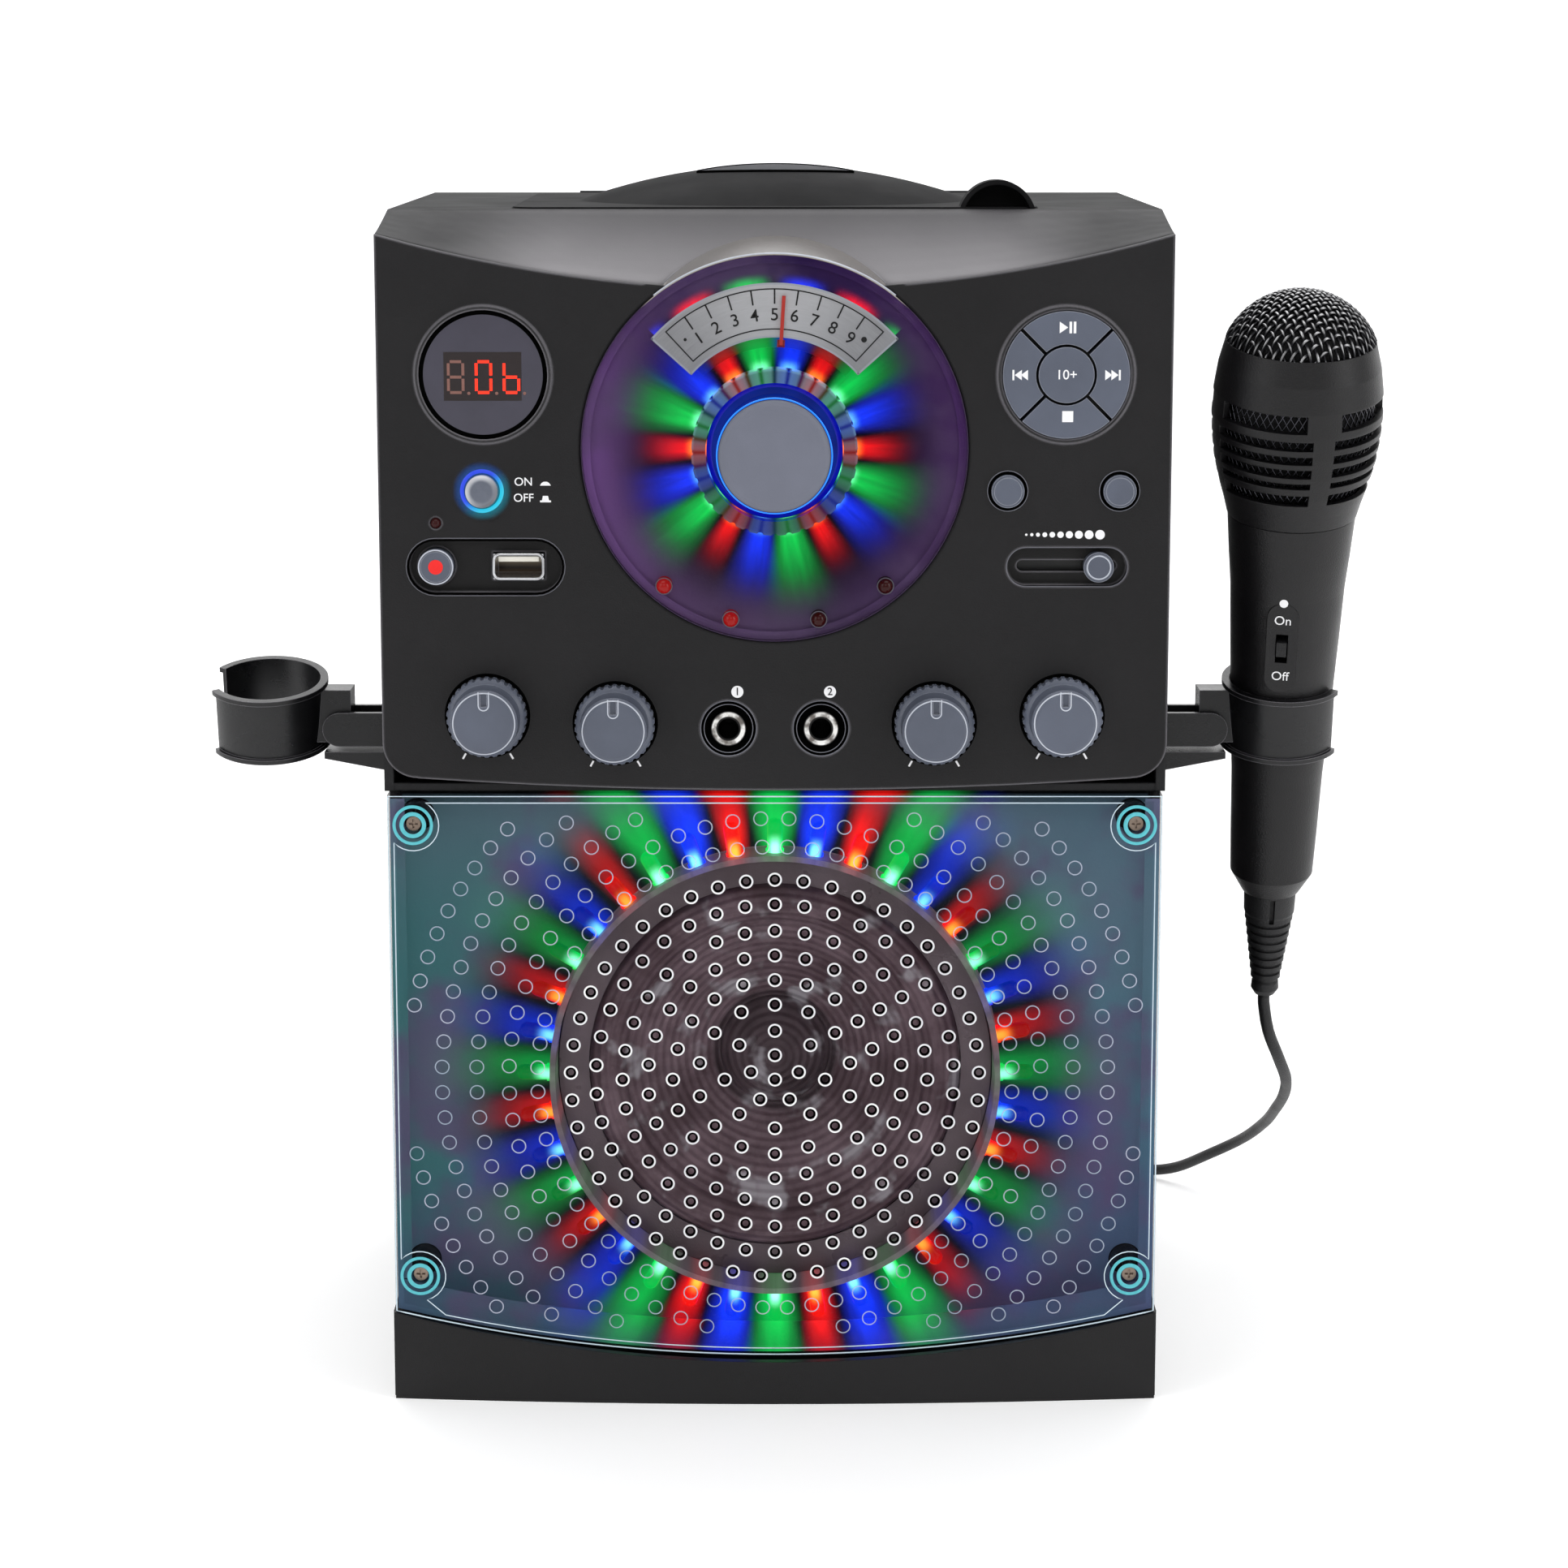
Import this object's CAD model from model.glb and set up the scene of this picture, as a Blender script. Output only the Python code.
# %% [markdown]
# # A tabletop karaoke machine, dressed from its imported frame
#
# The machine is a black cabinet with a clear speaker cover, a lit dial, a lid for discs and a microphone in a
# ring at its side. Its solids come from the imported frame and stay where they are. This lesson gives them
# their finishes, adds the small pieces that are too fine for the solids, and lights and frames the picture.
# Lengths are in metres: the origin is on the table under the middle of the cabinet, +Z is up, +X is to the
# user's right and -Y is towards the user. `MM` turns millimetres into metres.

# %% Load the frame
import math

import bmesh
import bpy
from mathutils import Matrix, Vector


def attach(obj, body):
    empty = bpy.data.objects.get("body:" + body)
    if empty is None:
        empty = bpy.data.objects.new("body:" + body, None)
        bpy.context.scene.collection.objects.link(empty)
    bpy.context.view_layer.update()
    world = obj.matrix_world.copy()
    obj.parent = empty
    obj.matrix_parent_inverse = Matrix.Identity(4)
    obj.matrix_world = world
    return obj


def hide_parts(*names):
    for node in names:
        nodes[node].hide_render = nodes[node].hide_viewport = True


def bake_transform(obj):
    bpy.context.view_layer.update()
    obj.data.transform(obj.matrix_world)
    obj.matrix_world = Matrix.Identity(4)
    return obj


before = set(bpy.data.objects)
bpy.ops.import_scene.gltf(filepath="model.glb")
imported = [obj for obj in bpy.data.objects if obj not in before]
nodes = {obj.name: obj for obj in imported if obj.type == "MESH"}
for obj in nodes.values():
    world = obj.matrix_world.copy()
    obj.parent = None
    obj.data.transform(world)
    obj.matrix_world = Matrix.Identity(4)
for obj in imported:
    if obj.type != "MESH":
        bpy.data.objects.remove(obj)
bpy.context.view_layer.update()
MM = 0.001

# %% [markdown]
# ## The camera
#
# A product picture is mostly taken from a step away with a long lens, so that upright edges stay nearly
# parallel. The camera could be placed by eye. Here its place, tilt and lens were worked out from edges of the
# machine whose sizes are known, so that each piece can be compared with the picture at its own place.

# %% Place the camera
TILT_DOWN = 10.2
camera_data = bpy.data.cameras.new("camera")
camera_data.lens = 91.3
camera_data.sensor_width = 36
camera = bpy.data.objects.new("camera", camera_data)
camera.location = (0.0029, -1.340, 0.423)
camera.rotation_euler = (math.radians(90 - TILT_DOWN), 0, 0)
bpy.context.collection.objects.link(camera)
bpy.context.scene.camera = camera
print("camera at", tuple(round(v, 3) for v in camera.location), "with a lens of", round(camera_data.lens, 1))

# %% [markdown]
# ## Making a mesh
#
# A piece could be started from one of Blender's ready shapes and bent into place. Here each piece is made
# point by point, which keeps its sizes readable and gives the same mesh at each run. `build` makes the mesh,
# and `keep` links it, gives it a material and lets it ride on the body that it moves with.

# %% Build a mesh and keep it as a piece


def keep(name, mesh, body, material=None, smooth=False):
    """Links a mesh as a piece that rides on a body."""
    piece = bpy.data.objects.new(name, mesh)
    bpy.context.collection.objects.link(piece)
    if material is not None:
        mesh.materials.append(material)
    if smooth:
        mesh.polygons.foreach_set("use_smooth", [True] * len(mesh.polygons))
    if body is not None:
        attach(piece, body)
    return piece


def build(name, points, faces):
    """Makes a mesh from its points and from faces that number them."""
    mesh = bpy.data.meshes.new(name)
    mesh.from_pydata([tuple(p) for p in points], [], faces)
    mesh.update()
    return mesh


# %% [markdown]
# ## Tubes
#
# Cords, wires and raised outlines are all tubes along a path. A Blender curve with a bevel makes one too, but
# a mesh can carry many tubes in one piece. The section is carried along the path without a twist: at each
# point the last direction is turned only as far as the path turns.

# %% Points and faces of a tube


def tube_data(path, radius, sides, first, closed=False, start=0):
    """Points and faces of a tube along a path. The first direction only says where its section starts."""
    count = len(path)
    points, faces = [], []
    normal = Vector(first)
    for i, p in enumerate(path):
        ahead = path[(i + 1) % count] if closed else path[min(i + 1, count - 1)]
        behind = path[i - 1] if closed else path[max(i - 1, 0)]
        along = (ahead - behind).normalized()
        normal = (normal - along * normal.dot(along)).normalized()
        side = along.cross(normal)
        for k in range(sides):
            a = 2 * math.pi * k / sides
            points.append(p + radius * (math.cos(a) * normal + math.sin(a) * side))
    last = count if closed else count - 1
    for i in range(last):
        j = (i + 1) % count
        for k in range(sides):
            n = (k + 1) % sides
            faces.append(tuple(start + v for v in (i * sides + k, i * sides + n, j * sides + n,
                                                   j * sides + k)))
    if not closed:
        faces.append(tuple(start + k for k in range(sides))[::-1])
        faces.append(tuple(start + (count - 1) * sides + k for k in range(sides)))
    return points, faces


corners, walls = tube_data([Vector((0, 0, 0)), Vector((0, 0, 1))], 0.1, 6, (1, 0, 0))
print("a tube of one step with 6 sides has", len(corners), "points and", len(walls), "faces")

# %% [markdown]
# ## The microphone's cord
#
# The lead is 4 mm of soft PVC, about 2.4 m long. It hangs from the strain relief to the table, goes round
# behind the cabinet and ends in a wound coil with its plug. A simulation could drop it, but a smooth curve
# through measured points gives the same lead each time, and its length can be read off. The points repeat the
# route of the solids. `LEAN` is the microphone's tilt in its ring, and `MIC_AXIS` points to its head.

# %% The route of the cord
LEAN = math.radians(14.4)
RING = Vector((0.164, -0.065, 0.218))
MIC_AXIS = Vector((0, -math.sin(LEAN), math.cos(LEAN)))
CABINET = "cabinet"
CORD = 4 * MM
LENGTH_BELOW = 0.103
exit_point = RING - MIC_AXIS * LENGTH_BELOW
ROUTE = [
    (166, -36, 104), (171, -27, 92), (176, -8, 80), (179, 20, 67), (180, 50, 54), (180, 80, 41),
    (175, 105, 28), (164, 125, 16), (154, 140, 7), (144, 150, 3), (132, 159, 2), (118, 167, 3),
    (104, 173, 6), (90, 177, 10), (77, 178, 14), (66, 178.4, 15.5),
]
print("the cord leaves at", tuple(round(v, 4) for v in exit_point), "and follows", len(ROUTE), "points")

# %% [markdown]
# ### The coil
#
# The rest of the lead is wound up as for storage: 15 turns in 4 layers, wound inwards in one layer and
# outwards in the next, so the turns lie beside and on each other like in a shop. A spiral modifier could draw
# one layer. A formula for the radius and the layer of any turn draws all four without a break.

# %% The coil's turns
COIL = Vector((0.050, 0.148, 0))
PITCH, INNER, TURNS, LAYERS = 4.5 * MM, 13.5 * MM, 3.75, 4
OUTER = INNER + TURNS * PITCH
TOP = CORD / 2 + (LAYERS - 1) * PITCH


def between(a, b, c, d, t):
    """A point of the smooth curve from b to c, t of the way along. a and d are the points beyond."""
    square = (2 * a - 5 * b + 4 * c - d) * t * t
    return 0.5 * (2 * b + (c - a) * t + square + (3 * b - a - 3 * c + d) * t ** 3)


def level(t):
    """The layer of a turn, counted from the top. It sinks over half a turn where a layer ends."""
    near = round(t / TURNS)
    at = t - near * TURNS
    if near < 1:
        return 0
    if near > LAYERS - 1:
        return LAYERS - 1
    return near - 1 if at <= -0.25 else near if at >= 0.25 else near - 0.5 + at * 2


def coil_point(t):
    """The place on the coil after t turns."""
    r = INNER + PITCH * abs(TURNS - t % (2 * TURNS))
    a = math.pi / 2 + 2 * math.pi * t
    return Vector((COIL.x + r * math.cos(a), COIL.y + r * math.sin(a), TOP - PITCH * level(t)))


print("coil", round(2 * OUTER / MM), "mm across and", round((TOP + CORD / 2) / MM), "mm high")

# %% Join the route and the coil
STEP = 4 * MM
RINGS = 32
PLUG_RUN = ((-8, 0, 0.3), (-16, 0, 1.7), (-24, 0, 3.5), (-31, 0, 4.5), (-35, 0, 4.5))
start = Vector((COIL.x, COIL.y + OUTER, TOP))
hand = [exit_point + MIC_AXIS * 0.01, exit_point, exit_point - MIC_AXIS * CORD]
hand += [Vector(p) * MM for p in ROUTE]
hand += [start + Vector((CORD + STEP, 0, 0)), start + Vector((CORD, 0, 0)), start - Vector((0.01, 0, 0))]
cord_path = []
for i in range(1, len(hand) - 2):
    steps = max(2, round((hand[i + 1] - hand[i]).length / STEP))
    cord_path += [between(*hand[i - 1:i + 3], k / steps) for k in range(steps)]
cord_path.append(hand[-2])
cord_path += [coil_point(i / RINGS) for i in range(int(TURNS * LAYERS * RINGS) + 1)]
end = cord_path[-1].copy()
cord_path += [end + Vector(s) * MM for s in PLUG_RUN]

# %% Make the cord
cord = keep("cord", build("cord", *tube_data(cord_path, CORD / 2, 12, (1, 0, 0))), None, smooth=True)
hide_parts("mic_cord", "mic_cord_coil")
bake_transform(cord)
print("cord mesh", len(cord.data.polygons), "faces")

# %% [markdown]
# ## Nodes and colours
#
# Blender describes a finish with nodes that end in the Principled shader. A node can be drawn by hand in the
# shader editor, but a tree written as text can be read and repeated. `add` makes any node: "Math.ADD" is the
# Math node set to ADD. It gives back the node's first output in use, so calls nest like a formula. `colour`
# takes the hex value that a colour picker shows and turns it into the linear numbers that light needs.

# %% One function for colours and one for nodes
SETTING = {"Mix": "data_type", "MapRange": "interpolation_type", "ValToRGB": "interpolation"}


def colour(code, value=1.0):
    """Turns an sRGB hex value to the linear numbers that the shaders take, made value times as bright."""
    parts = [int(code[i:i + 2], 16) / 255 for i in (1, 3, 5)]
    return (*(value * (v / 12.92 if v <= 0.04045 else ((v + 0.055) / 1.055) ** 2.4) for v in parts), 1.0)


def add(tree, kind, *values, out=None, samples=None, stops=(), **named):
    """Adds a node and fills its inputs in order or by name. What follows the dot in its kind sets it."""
    kind, _, choice = kind.partition(".")
    node = tree.nodes.new("ShaderNode" + kind)
    if choice:
        holder = node.color_ramp if kind == "ValToRGB" else node
        setattr(holder, SETTING.get(kind, "operation"), choice)
    if samples:
        node.samples = samples
    for _ in stops[2:]:
        node.color_ramp.elements.new(1.0)
    for element, (position, shade) in zip(node.color_ramp.elements if stops else (), stops):
        element.position, element.color = position, shade
    in_use = [socket for socket in node.inputs if socket.enabled]
    by_name = [(node.inputs[name.replace("_", " ")], value) for name, value in named.items()]
    for socket, value in list(zip(in_use, values)) + by_name:
        if isinstance(value, bpy.types.NodeSocket):
            tree.links.new(value, socket)
        else:
            socket.default_value = value
    return node.outputs[out] if out else next(socket for socket in node.outputs if socket.enabled)


print("middle grey #808080 is", round(colour("#808080")[0], 3), "in linear light")

# %% A new material, the size of a pattern and the place round a dial


def material(name):
    """A new material: its tree, its Principled shader and the place of a point in the machine's frame."""
    made = bpy.data.materials.new(name)
    made.use_nodes = True
    tree = made.node_tree
    shader = tree.nodes["Principled BSDF"]
    place = add(tree, "TexCoord", out="Object")
    return made, tree, shader, place


def patches(size):
    """The scale of a noise whose patches are about that many millimetres wide."""
    return 1000 / size


def polar(tree, place, height):
    """Angle clockwise from the top, in turns, and radius round a point of the front."""
    x, _, high = add(tree, "SeparateXYZ", place).node.outputs
    z = add(tree, "Math.SUBTRACT", high, height)
    turn = add(tree, "Math.DIVIDE", add(tree, "Math.ARCTAN2", x, z), 2 * math.pi)
    radius = add(tree, "Math.SQRT", add(tree, "Math.ADD", add(tree, "Math.MULTIPLY", x, x),
                                        add(tree, "Math.MULTIPLY", z, z)))
    return turn, radius


print("patches of 0.4 mm need a noise scale of", patches(0.4))

# %% [markdown]
# ## The skin of a moulding
#
# Nearly every part of the machine comes out of a steel mould. Its spark-eroded walls leave a fine grain, the
# gloss varies a little where the plastic flowed, and no edge is perfectly sharp. A picture of such a surface
# could be wrapped round each part. Noise in the machine's own space needs no unwrapping, and its size can be
# given in millimetres. The real grain is about 0.1 mm, and it is drawn 0.3 to 0.7 mm wide so that it shows.
# The Bevel node rounds the edges in the shading alone, so the solids keep their shape.

# %% Grain, edges and gloss


def surface(tree, shader, place, grain, depth, edge, gloss, spread):
    """Grain in millimetres, edges rounded in the shading, and a gloss that varies by its spread."""
    fine = add(tree, "TexNoise", place, patches(grain), 3.0)
    rounded = add(tree, "Bevel", samples=4, Radius=edge) if edge else None
    bump = add(tree, "Bump", Strength=depth, Distance=0.0004, Height=fine)
    if rounded:
        tree.links.new(rounded, bump.node.inputs["Normal"])
    tree.links.new(bump, shader.inputs["Normal"])
    cloudy = add(tree, "TexNoise", place, 38, 4.0, 0.6)
    rough = add(tree, "MapRange", cloudy, 0.3, 0.7, gloss - spread, gloss + spread)
    tree.links.new(rough, shader.inputs["Roughness"])


FRONT = -0.110
DIAL = Vector((0, FRONT, 0.307))


def plastic(name, dark, light, gloss=0.4, spread=0.05, grain=0.385, depth=0.15, edge=0.3 * MM, metal=0.0,
            coat=0.0, shine=0.5, polished=None):
    """A moulded plastic or a plated metal, cloudy between two tones. `polished` gives its edges a tone.

    After the tone and width of the edges, a height and a radius keep them off the dial's opening, and darken
    what lies behind the front.
    """
    made, tree, shader, place = material(name)
    shader.inputs["Specular IOR Level"].default_value = shine
    tone = add(tree, "MapRange.SMOOTHSTEP", add(tree, "TexNoise", place, 22, 5.0, 0.6), 0.3, 0.75)
    base = add(tree, "Mix.RGBA", tone, colour(dark), colour(light))
    if polished:
        soft = add(tree, "Bevel", samples=6, Radius=polished[1])
        flat = add(tree, "NewGeometry", out="Normal")
        along = add(tree, "VectorMath.DOT_PRODUCT", soft, flat)
        worn = add(tree, "MapRange.SMOOTHSTEP", along, 0.985, 0.82)
        if len(polished) > 2:
            radius = polar(tree, place, polished[2])[1]
            outside = add(tree, "MapRange.SMOOTHSTEP", radius, polished[3], polished[3] + 1 * MM)
            worn = add(tree, "Math.MULTIPLY", worn, outside)
            y = add(tree, "SeparateXYZ", place, out="Y")
            deep = add(tree, "MapRange.SMOOTHSTEP", y, FRONT + 0.6 * MM, FRONT + 1.4 * MM)
            base = add(tree, "Mix.RGBA", deep, base, colour("#040304"))
        base = add(tree, "Mix.RGBA", worn, base, colour(polished[0]))
    tree.links.new(base, shader.inputs["Base Color"])
    shader.inputs["Metallic"].default_value = metal
    shader.inputs["Coat Weight"].default_value = coat
    shader.inputs["Coat Roughness"].default_value = 0.12
    surface(tree, shader, place, grain, depth, edge, gloss, spread)
    return made

# %% [markdown]
# ### Black ABS mouldings
#
# The cabinet is injection-moulded ABS, an opaque plastic with an IOR near the shader's 1.5. What tells its
# parts apart is the wall of the mould: a fine texture gives a satin fascia, a coarser one hides scratches on
# the case, and a polished wall makes the plinth and the holders glossy. One material with a painted mask
# would do for all, but a material for each finish is easier to tune. Where hands and cloths rub an edge, it
# catches the light as a thin grey line.

# %% Black ABS
# Satin, with a bright rubbed edge round every opening and dark walls behind the front.
fascia_plastic = plastic("satin ABS of the fascia", "#0e0d0f", "#151416", 0.44, 0.05, 0.526, 0.25, 1.6 * MM,
                         shine=0.3, polished=("#77757a", 1.4 * MM, DIAL.z, 64 * MM))
# Coarse mould texture, a little greyer, because more light is scattered.
case_plastic = plastic("grained ABS of the case", "#121214", "#1a1a1c", 0.5, 0.06, 0.667, 0.4, 1.0 * MM,
                       shine=0.3)
# A polished mould: darker and with softer, clearer reflections of the table.
plinth_plastic = plastic("polished ABS of the plinth", "#080709", "#0e0d0f", 0.34, 0.06, depth=0.1,
                         edge=0.8 * MM, shine=0.3)
# Matt tops: seen at a slant they would mirror the whole room, so their shine is low.
deck_plastic = plastic("matt ABS of the deck", "#161617", "#202021", 0.58, 0.05, 0.417, 0.1, 0.8 * MM,
                       shine=0.05)
lid_plastic = plastic("matt ABS of the lid", "#1a1a1b", "#242425", 0.55, 0.05, 0.417, 0.1, 0.8 * MM,
                      shine=0.015)
# Glossy, with thin bright edges on its ribs.
holder_plastic = plastic("glossy ABS of the holders", "#0e0e10", "#161618", 0.28, 0.05, 0.417, 0.15,
                         0.4 * MM, shine=0.4, polished=("#77757a", 0.5 * MM))
# The same plastic left rough inside, where nobody looks.
inner_plastic = plastic("plain ABS inside", "#151517", "#1d1d1f", 0.5, 0.05, 0.556, 0.2, 0.0)
# Lacquer over ABS: smooth and slightly glossy, with the softest grain.
mic_paint = plastic("lacquered ABS of the microphone", "#080709", "#0e0d0f", 0.36, 0.05, 0.455, 0.3,
                    0.4 * MM, shine=0.36)
print("black ABS in", len(bpy.data.materials), "materials so far, with the solids' own")

# %% [markdown]
# ### Coloured plastics, boards and rubber
#
# Knobs and buttons are ABS with a blue-grey pigment, the turntable's hub is acetal, a slippery white plastic,
# and the boards are glass fibre in green epoxy. The cord and the strain relief are soft PVC, which is matt
# and drinks the light. They share `plastic`, because they are moulded or pressed too, and differ in tone,
# gloss and grain.

# %% Coloured plastics
# Grey ABS with pale, rubbed rims.
knob_plastic = plastic("grey ABS of the knobs", "#4e5360", "#5a606f", 0.34, 0.04, 0.417, 0.1, 0.4 * MM,
                       shine=0.45, polished=("#9a9eaa", 0.5 * MM))
# Epoxy over woven glass: green, with a coarse unevenness.
board_green = plastic("green epoxy board", "#174a2c", "#1f5c38", 0.35, 0.08, 1.11, 0.1, 0.0)
# Acetal is milky white with a soft shine.
hub_plastic = plastic("white acetal of the hub", "#b4b4b7", "#c4c4c7", 0.35, 0.04, 0.417, 0.1)
# Soft PVC with a dull, slightly pebbled skin.
rubber = plastic("soft PVC of the cord", "#0c0c0e", "#151517", 0.5, 0.08, 0.588, 0.5, shine=0.4)
# Bright red ABS of the needle.
needle_red = plastic("red ABS of the needle", "#c8281e", "#dc3a2c", 0.4, 0.04, depth=0.1, edge=0.0)
print("coloured plastics bring it to", len(bpy.data.materials), "materials")

# %% [markdown]
# ### Metals
#
# Steel shows in four finishes: ground rods, bright nickel plating on the plug, zinc-plated screws that have
# turned brownish, and the speaker's painted basket. A metal has no colour of its own under the shine, so the
# shader's Metallic is 1 and the tone tints the reflections. The basket's paint hides its steel, so it is
# nearly a plastic. All keep the default IOR.

# %% Metals
# Fine grinding leaves a soft grey mirror.
steel = plastic("ground steel", "#a9abae", "#c4c6c9", 0.22, 0.08, 0.3125, 0.06, metal=1.0)
# Nickel plating is smoother and brighter.
nickel = plastic("nickel-plated steel", "#c2c3c6", "#dcdde0", 0.14, 0.05, 0.3125, 0.04, metal=1.0)
# Zinc plating, gone brown and uneven.
screw_steel = plastic("zinc-plated steel of the screws", "#7c6c60", "#a39487", 0.32, 0.1, 0.385, 0.15,
                      0.2 * MM, metal=1.0)
# Stamped steel under thin paint, lit by the lamps round it.
basket_steel = plastic("painted steel of the basket", "#5a4a50", "#7a6a72", 0.3, 0.08, 0.667, 0.2,
                       0.4 * MM, metal=0.2)
print("metals bring it to", len(bpy.data.materials), "materials")

# %% [markdown]
# ### Inks
#
# Marks are screen-printed: a thick, even layer of matt ink. They could be a picture on the plastic, but here
# each mark is a thin mesh of its own, which stays sharp at any size. An ink needs only its tone, a faint
# unevenness and no rounded edge. The silver line ink is the exception: it is foil-bright.

# %% Inks
PRINT = {"gloss": 0.5, "grain": 0.3125, "depth": 0.1, "edge": 0.0}
white_print = plastic("white screen ink", "#ececee", "#f6f6f8", **PRINT)
dark_print = plastic("black screen ink", "#060607", "#0c0c0e", **PRINT)
red_print = plastic("red screen ink", "#e8120c", "#f81a12", **{**PRINT, "gloss": 0.4})
line_print = plastic("silver foil line", "#b4b9c4", "#cacfd9", **{**PRINT, "gloss": 0.3})
print("inks and plastics bring it to", len(bpy.data.materials), "materials")

# %% [markdown]
# ## Coloured light
#
# Behind the speaker cover and behind the dial lies a shiny PET film, with a ring of light diodes in green,
# blue and red. The film throws each diode's light outwards as a soft fan. Real lamps in the scene would need
# very many samples to show that. Here the film's own shader gives off the fans: from the angle and the radius
# of a point it works out which lamp is nearest, how far off its middle line the point lies, and how far out.

# %% The three colours
# Deep colours of the light diodes, and the paler ones where the light is too strong for the eye.
GREEN, BLUE, RED = colour("#07b545"), colour("#0d30e7"), colour("#e7120d")
HOT = {GREEN: colour("#89ffcb"), BLUE: colour("#6ccbff"), RED: colour("#ff9530")}
BAY_ORDER, DIAL_ORDER = (GREEN, BLUE, RED), (BLUE, RED, GREEN)
BAY_LAMPS, DIAL_LAMPS = 36, 18
SPEAKER = Vector((0, FRONT, 0.106))


def lamp_colour(tree, turn, count, shift, order):
    """The colour of the nearest lamp, and the distance from its middle line in shares of a step."""
    step = add(tree, "Math.MULTIPLY_ADD", turn, float(count), shift)
    cell = add(tree, "Math.FLOOR", add(tree, "Math.ADD", step, 0.5))
    across = add(tree, "Math.ABSOLUTE", add(tree, "Math.SUBTRACT", step, cell))
    index = add(tree, "Math.DIVIDE", add(tree, "Math.ADD", add(tree, "Math.FLOORED_MODULO", cell, 3.0),
                                         0.5), 3.0)
    hue = add(tree, "ValToRGB.CONSTANT", index, stops=[(k / 3, shade) for k, shade in enumerate(order)])
    return hue, across, index


print("linear green is", [round(part, 3) for part in GREEN[:3]])

# %% Fans of light


def fans(tree, step, beyond, order, shapes):
    """Adds up soft fans of three colours. Each has a half width, its growth, its reach and its power.

    A width is in shares of the step between two lamps, and a reach is in metres beyond the first radius.
    """
    total = (0.0, 0.0, 0.0)
    for index, (hue, (wide, grow, reach, power)) in enumerate(zip(order, shapes)):
        around = add(tree, "Math.FLOORED_MODULO", add(tree, "Math.ADD", step, 1.5 - index), 3.0)
        across = add(tree, "Math.ABSOLUTE", add(tree, "Math.SUBTRACT", around, 1.5))
        width = add(tree, "Math.MULTIPLY_ADD", beyond, grow, wide)
        soft = add(tree, "MapRange.SMOOTHSTEP", add(tree, "Math.DIVIDE", across, width), 1.0, 0.1)
        fade = add(tree, "Math.POWER", add(tree, "MapRange.SMOOTHSTEP", beyond, reach, 0.0), 2.2)
        amount = add(tree, "Math.MULTIPLY", soft, add(tree, "Math.MULTIPLY", fade, power))
        total = add(tree, "VectorMath.ADD", add(tree, "VectorMath.SCALE", hue[:3], amount), total)
    return total


print("a lamp every", 360 / BAY_LAMPS, "degrees in the bay and every", 360 / DIAL_LAMPS, "at the dial")

# %% [markdown]
# ### The films
#
# A film has fine radial streaks, because it is stretched over the panel, and it shows the room in cloudy
# patches of violet and blue-green. The streaks are noise that is stretched along the radius. The bay's fans
# are brighter above and below, where the panel is shallow. At the dial the gauge plate covers part of the
# fans, and they come out again along its outer edge.

# %% A film with fans of light


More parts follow.
